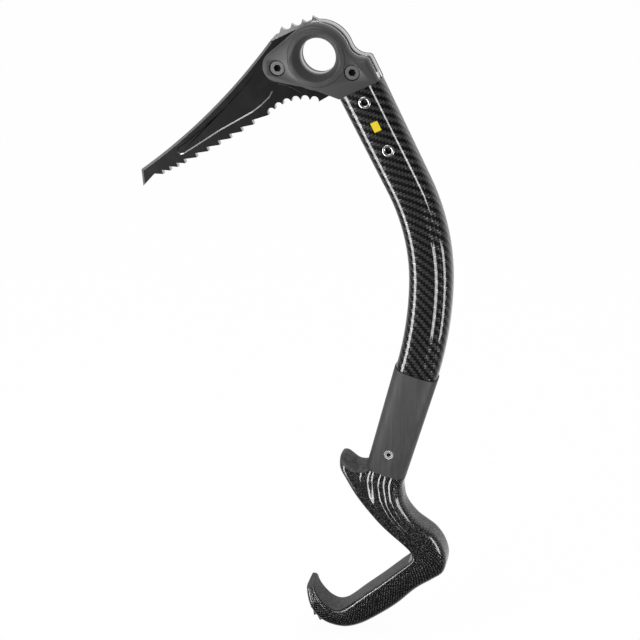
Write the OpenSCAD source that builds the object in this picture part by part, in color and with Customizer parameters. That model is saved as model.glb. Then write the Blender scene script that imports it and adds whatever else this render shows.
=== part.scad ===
// Ice climbing tool: a toothed steel pick clamped between two alloy head cheeks, a curved and
// fluted carbon shaft, and a two-part moulded handle with a horn, grip pads and a toothed plate.
// X runs from the pick's point to the back of the shaft, Y is the tool's thickness and Z is up.
// The origin is the centre of the eye through the head. The left side is the one towards -Y.

/* [Head] */
// Radius of the hole through the head
eye_r = 13.4; // [11:0.1:15]
// Radius of the dished mouth of that hole
dish_r = 17.3; // [15.5:0.1:19]
// Depth of the dish below the raised ring
dish_depth = 7.2; // [5:0.1:9]
// Outer radius of the raised ring round the eye
ring_r = 21.2; // [20:0.1:22]
// Height of the raised ring above the cheek's face
ring_rise = 0.9; // [0.3:0.1:1.5]
// Thickness of the head over the faces of the two cheeks
head_w = 23.4; // [22:0.1:25]
// Thickness of the head at its straight rim, below the bevel
rim_w = 15.6; // [12:0.1:18]
// Radius of the cheeks' outline round the eye
cheek_r = 24.4; // [23.5:0.1:27]
// Radius of the cheeks' outline round the front bolt
lobe_r = 11.6; // [10:0.1:13]
// Height of the front lobe's centre above the front bolt
lobe_rise = 0.7; // [0:0.1:2]
// Width of the bevel on the top and back of the cheeks
back_bevel = 2.8; // [1:0.1:3]
// Width of the bevel on the front and bottom of the cheeks
front_bevel = 1.1; // [0.5:0.1:2]
// Height of the rear lug's top above the eye's centre
lug_top = 1.5; // [-1:0.1:4]
// Radius of the rear lug's corner
lug_r = 3.2; // [2.9:0.1:5]
// Radius of the hollow between the eye and the rear lug
saddle_r = 11.8; // [8:0.1:14]
// Length of the solid web that closes the pick's slot at the shaft
web = 5.5; // [3:0.1:9]

/* [Pick] */
// Thickness of the pick
pick_t = 4.4; // [3.5:0.1:5]
// Thickness of the pick along its top teeth
crest_t = 3.6; // [3:0.1:4.4]
// Gap on each side of the pick between the cheeks
pick_gap = 0.05; // [0.02:0.01:0.2]
// How far the pick stands proud of the cheeks round the eye
pick_proud = 0.7; // [0.3:0.1:1.5]
// Distance from the eye forward to the pick's point
pick_reach = 136.5; // [125:0.5:150]
// Distance from the eye down to the pick's point
pick_drop = 109; // [95:0.5:115]
// Height of the cut-off front of the point
point_h = 13; // [9:0.5:16]
// How far the long top edge is hollowed from a straight line
top_bow = 5.3; // [3:0.1:9]
// How far the row of saw teeth bows down from a straight line
saw_bow = 1.6; // [0:0.1:3]
// Pitch of the fine saw teeth at the point
fine_pitch = 6.7; // [5:0.1:8]
// Number of gaps between the fine saw teeth
fine_count = 3; // [2:1:4]
// Pitch of the coarse saw teeth
coarse_pitch = 10.5; // [8:0.1:11.5]
// Number of gaps between the coarse saw teeth
coarse_count = 6; // [4:1:6]
// Depth of the saw teeth
saw_depth = 3.4; // [2:0.1:4.5]
// Radius of the arc on which the rear teeth lie
rear_arc_r = 39; // [36:0.5:42]
// Radius of the round gullets between the rear teeth
gullet_r = 3.15; // [2.6:0.05:3.3]
// Number of rear gullets
gullet_count = 6; // [4:1:6]
// Radius of the scallops between the top teeth
scallop_r = 4.4; // [4.2:0.1:5]
// Width of the bare bevel on the pick's top edge and point
pick_bevel = 1.8; // [0.8:0.1:2.5]
// Depth of that bevel on each side of the pick
pick_bevel_depth = 1.1; // [0.4:0.1:1.4]
// Depth of the milled pocket in each side of the pick
pocket_depth = 0.5; // [0.2:0.1:0.8]
// Width of the pocket's sloped wall
pocket_slope = 0.9; // [0.3:0.1:1.5]

/* [Fasteners] */
// Distance from the eye forward to the front bolt
front_bolt_x = 28.5; // [27:0.1:30]
// Distance from the eye back to the rear bolt
rear_bolt_x = 26.6; // [25.5:0.1:27.5]
// Distance from the eye down to both bolts
bolt_drop = 9; // [7:0.1:11]
// Diameter of the bolts
bolt_d = 6; // [5:0.1:7]
// Diameter of the bolt heads
bolt_head_d = 11.2; // [10:0.1:12]
// Height of the bolt heads
bolt_head_h = 5; // [4:0.1:6]
// Distance across the flats of the hexagon sockets
hex_key = 5; // [4:0.1:6]
// Depth of the hexagon sockets
hex_depth = 3; // [2:0.1:3.8]
// Distance across the flats of the nuts
nut_af = 10; // [9:0.1:11]
// Height of the nuts
nut_h = 5; // [4:0.1:6]
// How far bolt heads and nuts lie below the cheeks' faces
sink = 0.7; // [0.3:0.1:1.5]
// Gap round a bolt in its hole
bolt_gap = 0.15; // [0.05:0.01:0.3]
// Gap round a bolt head or nut in its seat
seat_gap = 0.4; // [0.1:0.05:0.6]
// Diameter of the hollow rivets' stems
rivet_d = 6; // [5.5:0.1:7]
// Diameter of the hole through the rivets
rivet_hole_d = 4.6; // [3.5:0.1:5]
// Diameter of the rivets' rolled heads
rivet_head_d = 9.2; // [8:0.1:10]
// Height of the rivets' rolled heads
rivet_head_h = 0.8; // [0.4:0.1:1.2]
// Distance of the upper rivet below the head's shoulder
upper_rivet_s = 9.5; // [8:0.1:14]
// Distance of the lower rivet below the head's shoulder
lower_rivet_s = 48.5; // [40:0.1:52]
// Distance of the rivets behind the shaft's centre line
rivet_shift = 0.8; // [0:0.1:1.5]
// Diameter of the handle screw's head and nut
screw_head_d = 7.6; // [6.5:0.1:9]
// Diameter of the handle screw
screw_d = 4; // [3:0.1:5]
// Height of the handle screw's head and nut
screw_head_h = 2; // [1.6:0.1:2.4]
// Distance across the flats of the handle screw's socket
screw_key = 3; // [2.5:0.1:3.5]
// Distance of the handle screw above the sleeve's lower rim
screw_rise = 18.7; // [14:0.1:24]

/* [Shaft] */
// Distance from the eye back to the centre of the head's shoulder
shaft_x = 31; // [29:0.1:33]
// Distance from the eye down to the centre of the head's shoulder
shaft_drop = 22; // [20:0.1:24]
// Angle between the straight upper shaft and the vertical
upper_lean = 27.3; // [25:0.1:30]
// Length of the straight upper shaft
straight_l = 79; // [70:0.5:95]
// Radius of the upper bend's centre line
upper_bend_r = 165; // [150:1:185]
// Radius of the lower bend's centre line
lower_bend_r = 287; // [260:1:320]
// Angle between the straight lower shaft and the vertical
lower_lean = 14.7; // [13:0.1:17]
// Width of the shaft in its bends, from front to back
shaft_w = 32.8; // [30:0.1:34]
// Width of the shaft where it leaves the head
shaft_top_w = 34.8; // [33:0.1:36]
// Thickness of the shaft
shaft_t = 24; // [23:0.1:26]
// Wall of the shaft
shaft_wall = 2.5; // [2:0.1:3]
// Width of the shaft at its lower end
shaft_end_w = 29.9; // [28:0.1:31]
// Thickness of the shaft at its lower end
shaft_end_t = 23; // [22.5:0.1:24]
// Depth of the flute along each side of the shaft
flute_depth = 1.3; // [0.5:0.1:1.6]
// Distance from the centre line to the flute's front edge
flute_start = 4.4; // [3:0.1:5]
// Width of the flute
flute_w = 6.2; // [5:0.1:7]
// Length of the tang inside the shaft
tang_l = 58; // [55:0.5:70]
// Gap between the tang or the spigot and the inside of the shaft
tang_gap = 0.12; // [0.05:0.01:0.3]

/* [Sleeve and spigot] */
// Length of the sleeve
sleeve_l = 88; // [70:0.5:95]
// Wall of the sleeve
sleeve_wall = 0.8; // [0.6:0.05:1.5]
// Gap between the sleeve and the shaft
sleeve_gap = 0.04; // [0.02:0.01:0.2]
// Length of the spigot inside the shaft
spigot_up = 32; // [28:0.5:40]
// Length of the spigot inside the handle
spigot_down = 20; // [14:0.5:21]

/* [Handle] */
// How far the horn reaches in front of the sleeve's centre line
horn_reach = 37.2; // [33:0.1:39]
// Height of the horn's tip above the sleeve's lower rim
horn_h = 3.9; // [2:0.1:6]
// How far the handle reaches below the sleeve's lower rim
handle_drop = 146; // [135:0.5:155]
// Thickness of the handle
handle_t = 26; // [24:0.1:28]
// Thickness of the handle's skin round the core
skin = 3; // [2:0.1:4]
// Gap between the core and the skin
core_gap = 0.05; // [0.02:0.01:0.2]
// Thickness of the hook's pad
pad_t = 2.2; // [1.5:0.1:3]
// Radius of the handle's front corners in the grip, beside the hook's pad
grip_r = 3.4; // [2.5:0.1:5]
// Gap between the pads, the spigot and their seats
pad_gap = 0.04; // [0.02:0.01:0.2]
// Thickness of the toothed plate in the hook
plate_t = 3; // [2:0.1:4]
// Gap on each side of the toothed plate
plate_gap = 0.05; // [0.02:0.01:0.2]

/* [Hidden] */
$fn = 48;

eps = 0.01;
// Exponent of the rounded rectangles that are the sections of shaft, sleeve and spigot
squareness = 3;
// Number of points round a section
section_n = 36;
// Rings per bend of the shaft, and rings from one handle station to the next
bend_rings = 8;
loft_rings = 2;

slot_w = pick_t + 2 * pick_gap;
face_y = head_w / 2;
ring_y = face_y + ring_rise;
bolt_seat_y = face_y - sink - bolt_head_h;
nut_seat_y = face_y - sink - nut_h;

// The shaft's two directions: along it and towards its back, at a lean from the vertical
function along(lean) = [sin(lean), -cos(lean)];
function back(lean) = [cos(lean), sin(lean)];

shoulder = [shaft_x, -shaft_drop];
upper_along = along(upper_lean);
upper_back = back(upper_lean);
bend_top = shoulder + straight_l * upper_along;
bend_mid = bend_top + upper_bend_r * [1 - cos(upper_lean), -sin(upper_lean)];
bend_end = bend_mid + lower_bend_r * [cos(lower_lean) - 1, -sin(lower_lean)];
lower_along = along(-lower_lean);
shaft_end = bend_end + sleeve_l * lower_along;

// A point of a plane outline, moved to a depth y
function lift(p, y) = [p[0], y, p[1]];
// Point on a circle, and points along an arc with both its ends
function polar(centre, r, a) = centre + r * [cos(a), sin(a)];
function arc(centre, r, from, to, steps) =
    [for (i = [0:steps]) polar(centre, r, from + (to - from) * i / steps)];
function unit(v) = v / norm(v);
function sgn(x) = x < 0 ? -1 : 1;

// Half thickness of a rounded rectangle at a distance u from its centre
function rounded(u, half_w, half_t, e) = half_t * pow(max(0, 1 - pow(abs(u) / half_w, e)), 1 / e);
// Closed section of a rounded rectangle, with a flute of the given depth on both sides
function section(half_w, half_t, flute, e = squareness) =
    [for (i = [0:section_n - 1])
        let (a = 360 * i / section_n,
            u = half_w * sgn(cos(a)) * pow(abs(cos(a)), 2 / e),
            v = half_t * sgn(sin(a)) * pow(abs(sin(a)), 2 / e),
            f = (u - flute_start) / flute_w,
            cut = f > 0 && f < 1 ? flute * sin(180 * f) : 0)
        [u, v - sgn(v) * min(abs(v), cut)]];

// Side faces between m rings of n points, the first of which has the number first
function walls(m, n, first, flip) =
    [for (i = [0:m - 2], j = [0:n - 1])
        let (a = first + i * n + j, b = first + i * n + (j + 1) % n, c = b + n, d = a + n)
        each flip ? [[a, c, b], [a, d, c]] : [[a, b, c], [a, c, d]]];
function reversed(list) = [for (i = [len(list) - 1:-1:0]) list[i]];
function count_up(n, first) = [for (i = [0:n - 1]) first + i];
// End face of a ring of n points as one polygon, or as triangles round the point that fan names
function end_face(n, first, flip, fan) =
    fan == undef ? [flip ? reversed(count_up(n, first)) : count_up(n, first)]
    : [for (i = [1:n - 2])
        let (b = first + (fan + i) % n, c = first + (fan + i + 1) % n)
        flip ? [first + fan, c, b] : [first + fan, b, c]];

// Solid between closed rings of the same number of points, with flat ends
module loft(rings, flip = false, fan = undef) {
    m = len(rings);
    n = len(rings[0]);
    polyhedron(
        points = [for (r = rings) each r],
        faces = concat(
            walls(m, n, 0, flip),
            end_face(n, 0, !flip, fan),
            end_face(n, (m - 1) * n, flip, fan)),
        convexity = 8);
}

// Tube between closed outer and inner rings of the same number of points
module tube(outer, inner) {
    m = len(outer);
    n = len(outer[0]);
    k = m * n;
    last = (m - 1) * n;
    polyhedron(
        points = concat([for (r = outer) each r], [for (r = inner) each r]),
        faces = concat(walls(m, n, 0, false), walls(m, n, k, true),
            [for (j = [0:n - 1]) let (q = (j + 1) % n) each
                [[j, k + j, k + q], [j, k + q, q],
                [last + j, last + q, k + last + q], [last + j, k + last + q, k + last + j]]]),
        convexity = 10);
}

// Plate in the tool's own plane, centred on it
module plate(t) {
    rotate([90, 0, 0]) linear_extrude(t, center = true) children();
}

// Cylinder across the tool at a plane point, from y0 to y1
module across(p, r, y0, y1) {
    translate([p[0], y1, p[1]]) rotate([90, 0, 0]) cylinder(r = r, h = y1 - y0);
}

// Hexagonal bar across the tool at a plane point, from y0 to y1
module hex_across(p, af, y0, y1) {
    translate([p[0], y1, p[1]]) rotate([90, 0, 0])
        cylinder(r = af / 2 / cos(30), h = y1 - y0, $fn = 6);
}

// Children in the frame of the straight shaft: X towards its back, Z up along it
module at_shoulder() {
    translate(lift(shoulder, 0)) rotate([0, -upper_lean, 0]) children();
}
module at_rim() {
    translate(lift(shaft_end, 0)) rotate([0, lower_lean, 0]) children();
}

front_bolt_at = [-front_bolt_x, -bolt_drop];
rear_bolt_at = [rear_bolt_x, -bolt_drop];
function rivet_at(s) = shoulder + s * upper_along + rivet_shift * upper_back;
upper_rivet_at = rivet_at(upper_rivet_s);
lower_rivet_at = rivet_at(lower_rivet_s);

// Outline over the rear lug, the saddle and the eye up to an angle, grown outwards by a margin
function back_outline(grow, to) =
    let (r = cheek_r + grow,
        top = lug_top + grow,
        sr = saddle_r - grow,
        saddle = [sqrt(pow(r + sr, 2) - pow(top + sr, 2)), top + sr],
        saddle_a = atan2(saddle[1], saddle[0]),
        outer = shoulder + (shaft_w / 2 + grow) * upper_back,
        corner_z = top - lug_r,
        corner_x = outer[0] + (outer[1] - corner_z) * tan(upper_lean) - lug_r / cos(upper_lean))
    concat(
        arc([corner_x, corner_z], lug_r, upper_lean, 90, 4),
        arc(saddle, sr, 270, 180 + saddle_a, 6),
        arc([0, 0], r, saddle_a + 8, to, 10));

// Outline round one cheek, as [x, z, bevel width]
lobe = front_bolt_at + [0, lobe_rise];
lobe_tangent = 180 + atan2(-lobe[1], -lobe[0]) - acos((cheek_r - lobe_r) / norm(lobe));
// Angles at which the front lobe's arc ends and the lower arc round the eye begins and ends
lobe_end_a = 268;
chin_from_a = 247;
chin_to_a = 270;
cheek_loop =
    let (outer = shoulder + shaft_w / 2 * upper_back, inner = shoulder - shaft_w / 2 * upper_back)
    concat(
        [concat(outer, -back_bevel * upper_back)],
        [for (p = back_outline(0, lobe_tangent - 5)) [p[0], p[1], back_bevel]],
        [for (p = arc(lobe, lobe_r, lobe_tangent, lobe_end_a, 9)) [p[0], p[1], front_bevel]],
        [for (p = arc([0, 0], cheek_r, chin_from_a, chin_to_a, 3)) [p[0], p[1], front_bevel]],
        [concat(inner, front_bevel * upper_back)]);

// A loop moved inwards by a share of its bevels: a row is [x, z, bevel width], or has the move
// itself as its third and fourth numbers.
function bevelled(loop, share) =
    let (n = len(loop))
    [for (i = [0:n - 1])
        let (p = loop[i], a = loop[(i + n - 1) % n], b = loop[(i + 1) % n],
            t1 = unit([p[0] - a[0], p[1] - a[1]]), t2 = unit([b[0] - p[0], b[1] - p[1]]),
            n1 = [-t1[1], t1[0]], n2 = [-t2[1], t2[0]])
        [p[0], p[1]] + share * (len(p) == 4 ? [p[2], p[3]] : p[2] * (n1 + n2) / (1 + n1 * n2))];

// The knee of the cheek's rounded bevel, as shares of the bevel's width and of its height
knee_in = 0.3;
knee_up = 0.65;

// One cheek's body on the side +Y, with a straight rim and a rounded bevel
module cheek_body() {
    rim_y = rim_w / 2;
    function ring(share, y) = [for (q = bevelled(cheek_loop, share)) lift(q, y)];
    loft([
        ring(0, slot_w / 2),
        ring(0, rim_y),
        ring(knee_in, rim_y + knee_up * (face_y - rim_y)),
        ring(1, face_y)]);
}

// How far the web stays back from the shoulder's front and from its back
web_front = 1;
web_back = 0.6;

// Half of the web above the shoulder and of the tang inside the shaft, on the side +Y
module tang_half() {
    half_w = shaft_w / 2 - shaft_wall - tang_gap;
    half_t = shaft_t / 2 - shaft_wall - tang_gap;
    at_shoulder() {
        translate([web_front - shaft_w / 2, 0, 0])
            cube([shaft_w - web_front - web_back, slot_w / 2, web]);
        intersection() {
            translate([0, 0, -tang_l]) linear_extrude(tang_l + eps) polygon(section(half_w, half_t, 0));
            translate([-shaft_w, 0, -2 * tang_l]) cube([2 * shaft_w, shaft_t, 3 * tang_l]);
        }
    }
}

// Everything that is cut out of the head: the eye with its dishes, the bolt holes with their
// seats, and the rivet holes
module head_cuts() {
    across([0, 0], eye_r, -head_w, head_w);
    for (side = [-1, 1])
        rotate([side * 90, 0, 0]) translate([0, 0, ring_y - dish_depth])
            cylinder(r1 = eye_r, r2 = dish_r, h = dish_depth + eps);
    for (p = [front_bolt_at, rear_bolt_at]) {
        across(p, bolt_d / 2 + bolt_gap, -head_w, head_w);
        across(p, bolt_head_d / 2 + seat_gap, -head_w, -bolt_seat_y);
        hex_across(p, nut_af + seat_gap / 2, nut_seat_y, head_w);
    }
    for (p = [upper_rivet_at, lower_rivet_at])
        across(p, rivet_d / 2, -head_w, head_w);
}

// One cheek with its raised ring and its half of the web and the tang: side is -1 or 1
module head_cheek(side) {
    difference() {
        mirror([0, side < 0 ? 1 : 0, 0]) union() {
            cheek_body();
            rotate([-90, 0, 0]) translate([0, 0, slot_w / 2]) {
                cylinder(r = ring_r, h = ring_y - slot_w / 2 - ring_rise / 2);
                translate([0, 0, ring_y - slot_w / 2 - ring_rise / 2])
                    cylinder(r1 = ring_r, r2 = ring_r - ring_rise / 2, h = ring_rise / 2);
            }
            tang_half();
        }
        head_cuts();
    }
}

module head_cheek_left() {
    color("#5c5d5f") head_cheek(-1);
}

module head_cheek_right() {
    color("#5c5d5f") head_cheek(1);
}

// The pick's outline, from its rear end over the top to the point and back along the teeth
web_s = -web - pick_gap;
function at_web(n) = shoulder + web_s * upper_along + n * upper_back;
point = [-pick_reach, -pick_drop];
nose = point + [-1.1, point_h];
brow = [-36, 8.6];
crest_first = [-28, 18.6];
crest_dir = [cos(22.4), sin(22.4)];
crest_up = [-sin(22.4), cos(22.4)];
crest_pitch = 8.4;
crest_gaps = 3;
// The strip milled thinner under the top teeth: its front corner, slope, length and height
strip_from = [-36.5, 7.5];
strip_lean = 27.8;
strip_l = 45;
strip_h = 20;
// The thin V groove milled into both faces below the front lobe: an arc, its width and its depth
line_at = [-31.3, -52.9];
line_r = 30.2;
line_from = 53;
line_to = 88;
line_w = 1.2;
line_depth = 0.45;
rear_arc_at = [-8.1, -72.2];
rear_arc_from = 139.6;
rear_land = 0.75;
rear_step = 2 * asin((gullet_r + rear_land / 2) / rear_arc_r);
function rear_at(i) = polar(rear_arc_at, rear_arc_r, rear_arc_from - i * rear_step);
saw_first = point + [16.5, 10.8];
saw_gullet = point + [9.4, 10.6];
saw_len = norm(rear_at(0) - saw_first);
saw_dir = unit(rear_at(0) - saw_first);
saw_up = [-saw_dir[1], saw_dir[0]];
// A place in the blade's own frame: along the row of saw teeth and up from it
function on_blade(p) = saw_first + p[0] * saw_dir + p[1] * saw_up;
function saw_tip(s) = on_blade([s, -4 * saw_bow * (s / saw_len) * (1 - s / saw_len)]);
saw_places = concat([for (i = [0:fine_count - 1]) i * fine_pitch],
    [for (i = [0:coarse_count]) fine_count * fine_pitch + i * coarse_pitch]);
tail = [15, -25];

pick_outline = concat(
    [at_web(shaft_w / 2 + pick_proud)],
    back_outline(pick_proud, 88),
    [crest_first + crest_gaps * crest_pitch * crest_dir, crest_first, [-29.4, 14], [-32, 13.2], brow],
    [nose, point, saw_gullet],
    [for (s = saw_places) each [saw_tip(s), saw_tip(s) + saw_depth * saw_up + 0.5 * saw_dir]],
    [for (i = [0:gullet_count]) rear_at(i)],
    [tail, at_web(-13)]);

// The long top edge is an arc through the nose and the brow
top_chord = norm(brow - nose);
top_r = top_chord * top_chord / 8 / top_bow + top_bow / 2;
top_dir = unit(brow - nose);
top_centre = (brow + nose) / 2 + (top_r - top_bow) * [-top_dir[1], top_dir[0]];
top_half_a = asin(top_chord / 2 / top_r);
top_mid_a = atan2(-top_dir[0], top_dir[1]);

module pick_shape() {
    difference() {
        polygon(pick_outline);
        translate(top_centre) circle(r = top_r, $fn = 720);
        circle(r = eye_r);
        for (p = [front_bolt_at, rear_bolt_at]) translate(p) circle(r = bolt_d / 2 + bolt_gap);
        for (i = [0:gullet_count - 1])
            translate((rear_at(i) + rear_at(i + 1)) / 2) circle(r = gullet_r);
        for (i = [0:crest_gaps])
            translate(crest_first + (i + 0.5) * crest_pitch * crest_dir
                + sqrt(pow(scallop_r, 2) - pow(crest_pitch / 2, 2)) * crest_up)
                circle(r = scallop_r);
    }
}

// Wedge that bevels the edge between two solids' faces: section in [across, into the plate]
function bevel_wedge(side) =
    let (y = pick_t / 2, k = pick_bevel_depth / pick_bevel)
    [[side * y, -pick_bevel],
        [side * (y - pick_bevel_depth - k), 1],
        [side * (y + 1), 1],
        [side * (y + 1), -pick_bevel]];

module pick_bevels() {
    for (side = [-1, 1]) {
        translate(lift(top_centre, 0)) rotate([90, 0, 0])
            rotate([0, 0, top_mid_a - top_half_a]) rotate_extrude(angle = 2 * top_half_a, $fn = 720)
                polygon([for (q = bevel_wedge(side)) [top_r - q[1], q[0]]]);
        translate(lift(point, 0)) rotate([0, -atan2(nose[1] - point[1], nose[0] - point[0]), 0])
            rotate([90, 0, 90]) linear_extrude(point_h + 3) polygon(bevel_wedge(side));
    }
}

// The milled pocket, as places on the blade
pocket_places = [
    [23, 5.5], [57, 7.4], [88, 7.4], [96, 8.5], [105, 10.8], [109.5, 13.6], [106, 26], [104, 31.5],
    [92, 27], [70, 20.5], [48, 16], [27, 12.4], [21, 12], [19.2, 9.2], [20.2, 6.4]];
pocket_loop = [for (p = pocket_places) on_blade(p)];

// The loop moved inwards by a margin
function inset(loop, d) =
    let (n = len(loop))
    [for (i = [0:n - 1])
        let (p = loop[i], t1 = unit(p - loop[(i + n - 1) % n]), t2 = unit(loop[(i + 1) % n] - p),
            n1 = [-t1[1], t1[0]], n2 = [-t2[1], t2[0]])
        p + d * (n1 + n2) / (1 + n1 * n2)];

module pocket_cut() {
    floor_loop = inset(pocket_loop, pocket_slope);
    rings = [
        [for (p = inset(pocket_loop, -pocket_slope)) lift(p, pick_t / 2 + pocket_depth)],
        [for (p = floor_loop) lift(p, pick_t / 2 - pocket_depth)]];
    loft(rings, true);
}

// What is milled out of the face +Y: the pocket, the thinner strip and the groove
module face_cuts() {
    pocket_cut();
    translate(lift(strip_from, crest_t / 2)) rotate([0, -strip_lean, 0])
        cube([strip_l, pick_t, strip_h]);
    translate(lift(line_at, pick_t / 2)) rotate([90, 0, 0]) rotate([0, 0, line_from])
        rotate_extrude(angle = line_to - line_from, $fn = 180) translate([line_r, 0])
            polygon([[-line_w / 2, -1], [-line_w / 2, 0], [0, line_depth], [line_w / 2, 0],
                [line_w / 2, -1]]);
}

module pick() {
    color("#2a2a2b") difference() {
        plate(pick_t) pick_shape();
        pick_bevels();
        face_cuts();
        mirror([0, 1, 0]) face_cuts();
    }
}

// How far a bolt's end stands out of its nut
bolt_over = 0.4;

// Bolt with a hexagon socket in its head, which lies on the side -Y
module bolt(p) {
    head_y = face_y - sink;
    chamfer = 0.6;
    difference() {
        union() {
            across(p, bolt_d / 2, -bolt_seat_y - eps, nut_seat_y + nut_h + bolt_over);
            across(p, bolt_head_d / 2, -head_y + chamfer, -bolt_seat_y);
            translate([p[0], -head_y + chamfer, p[1]]) rotate([90, 0, 0])
                cylinder(r1 = bolt_head_d / 2, r2 = bolt_head_d / 2 - chamfer, h = chamfer);
        }
        hex_across(p, hex_key, -head_y - 1, -head_y + hex_depth);
    }
}

module nut(p) {
    difference() {
        hex_across(p, nut_af, nut_seat_y, nut_seat_y + nut_h);
        across(p, bolt_d / 2, nut_seat_y - 1, nut_seat_y + nut_h + 1);
    }
}

module front_bolt() {
    color("#a9abad") bolt(front_bolt_at);
}

module front_nut() {
    color("#8f9193") nut(front_bolt_at);
}

module rear_bolt() {
    color("#a9abad") bolt(rear_bolt_at);
}

module rear_nut() {
    color("#8f9193") nut(rear_bolt_at);
}

// Hollow rivet with a rolled head on each side of the shaft
module rivet(p) {
    y = shaft_t / 2;
    difference() {
        union() {
            across(p, rivet_d / 2, -y - eps, y + eps);
            for (side = [-1, 1])
                translate(lift(p, side * y)) rotate([-90 * side, 0, 0])
                    cylinder(d1 = rivet_head_d, d2 = rivet_head_d - rivet_head_h, h = rivet_head_h);
        }
        across(p, rivet_hole_d / 2, -shaft_t, shaft_t);
    }
}

module upper_rivet() {
    color("#b5b7b8") rivet(upper_rivet_at);
}

module lower_rivet() {
    color("#b5b7b8") rivet(lower_rivet_at);
}

// Rings of the shaft, as [centre, lean, half width, half thickness, flute]
function on_bend(centre, r, lean) = [centre + r * back(lean), lean];
upper_centre = bend_top - upper_bend_r * upper_back;
lower_centre = bend_mid - lower_bend_r * back(0);
half_w = shaft_w / 2;
half_t = shaft_t / 2;
end_half_w = shaft_end_w / 2;
end_half_t = shaft_end_t / 2;
// How far the shaft's flutes run out under the sleeve
cover = 2;
shaft_rings = concat(
    [[shoulder, upper_lean, shaft_top_w / 2, half_t, flute_depth]],
    [for (i = [0:bend_rings])
        let (b = on_bend(upper_centre, upper_bend_r, upper_lean * (1 - i / bend_rings)))
        [b[0], b[1], half_w, half_t, flute_depth]],
    [for (i = [1:bend_rings])
        let (b = on_bend(lower_centre, lower_bend_r, -lower_lean * i / bend_rings))
        [b[0], b[1], half_w, half_t, flute_depth]],
    [[bend_end + cover * lower_along, -lower_lean, half_w + (end_half_w - half_w) * cover / sleeve_l,
        half_t + (end_half_t - half_t) * cover / sleeve_l, 0]],
    [[shaft_end, -lower_lean, end_half_w, end_half_t, 0]]);

function placed(ring, points) = [for (q = points) lift(ring[0] + q[0] * back(ring[1]), q[1])];

screw_at = [-1, screw_rise];
screw_share = screw_rise / sleeve_l;
// How far the sleeve's outside lies from the shaft
sleeve_out = sleeve_gap + sleeve_wall;
screw_y = end_half_t + (half_t - end_half_t) * screw_share + sleeve_out;
screw_seat_y = screw_y - screw_head_h;
// What is left below the screw's socket in its head
screw_floor = 0.4;

// Seats for the screw's head and nut, and its hole
module screw_cuts() {
    at_rim() {
        across(screw_at, screw_d / 2 + bolt_gap, -shaft_t, shaft_t);
        across(screw_at, screw_head_d / 2 + bolt_gap, -shaft_t, -screw_seat_y);
        across(screw_at, screw_head_d / 2 + bolt_gap, screw_seat_y, shaft_t);
    }
}

module shaft() {
    color("#303133") difference() {
        tube([for (r = shaft_rings) placed(r, section(r[2], r[3], r[4]))],
            [for (r = shaft_rings) placed(r, section(r[2] - shaft_wall, r[3] - shaft_wall, 0))]);
        for (p = [upper_rivet_at, lower_rivet_at]) across(p, rivet_d / 2, -shaft_t, shaft_t);
        screw_cuts();
    }
}

// Ring round the shaft's lower end at a height above the rim, grown by a margin
function sleeve_ring(z, grow) =
    let (k = z / sleeve_l)
    [for (q = section(end_half_w + (half_w - end_half_w) * k + grow,
        end_half_t + (half_t - end_half_t) * k + grow, 0)) [q[0], q[1], z]];

module grip_sleeve() {
    color("#4b4c4e") difference() {
        at_rim() tube(
            [for (z = [sleeve_l, 0]) sleeve_ring(z, sleeve_out)],
            [for (z = [sleeve_l, 0]) sleeve_ring(z, sleeve_gap)]);
        screw_cuts();
    }
}

spigot_half_w = end_half_w - shaft_wall - tang_gap;
spigot_half_t = end_half_t - shaft_wall - tang_gap;

module handle_spigot() {
    color("#9a9c9f") difference() {
        at_rim() translate([0, 0, -spigot_down]) linear_extrude(spigot_up + spigot_down)
            polygon(section(spigot_half_w, spigot_half_t, 0));
        at_rim() across(screw_at, screw_d / 2 + bolt_gap, -shaft_t, shaft_t);
    }
}

module handle_screw() {
    color("#c4c6c8") at_rim() difference() {
        union() {
            across(screw_at, screw_head_d / 2, -screw_y, -screw_seat_y);
            across(screw_at, screw_d / 2, -screw_seat_y - eps, screw_y);
        }
        hex_across(screw_at, screw_key, -screw_y - 1, -screw_seat_y - screw_floor);
    }
}

module handle_nut() {
    color("#c4c6c8") at_rim() difference() {
        across(screw_at, screw_head_d / 2, screw_seat_y, screw_y);
        across(screw_at, screw_d / 2, 0, shaft_t);
    }
}

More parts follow.
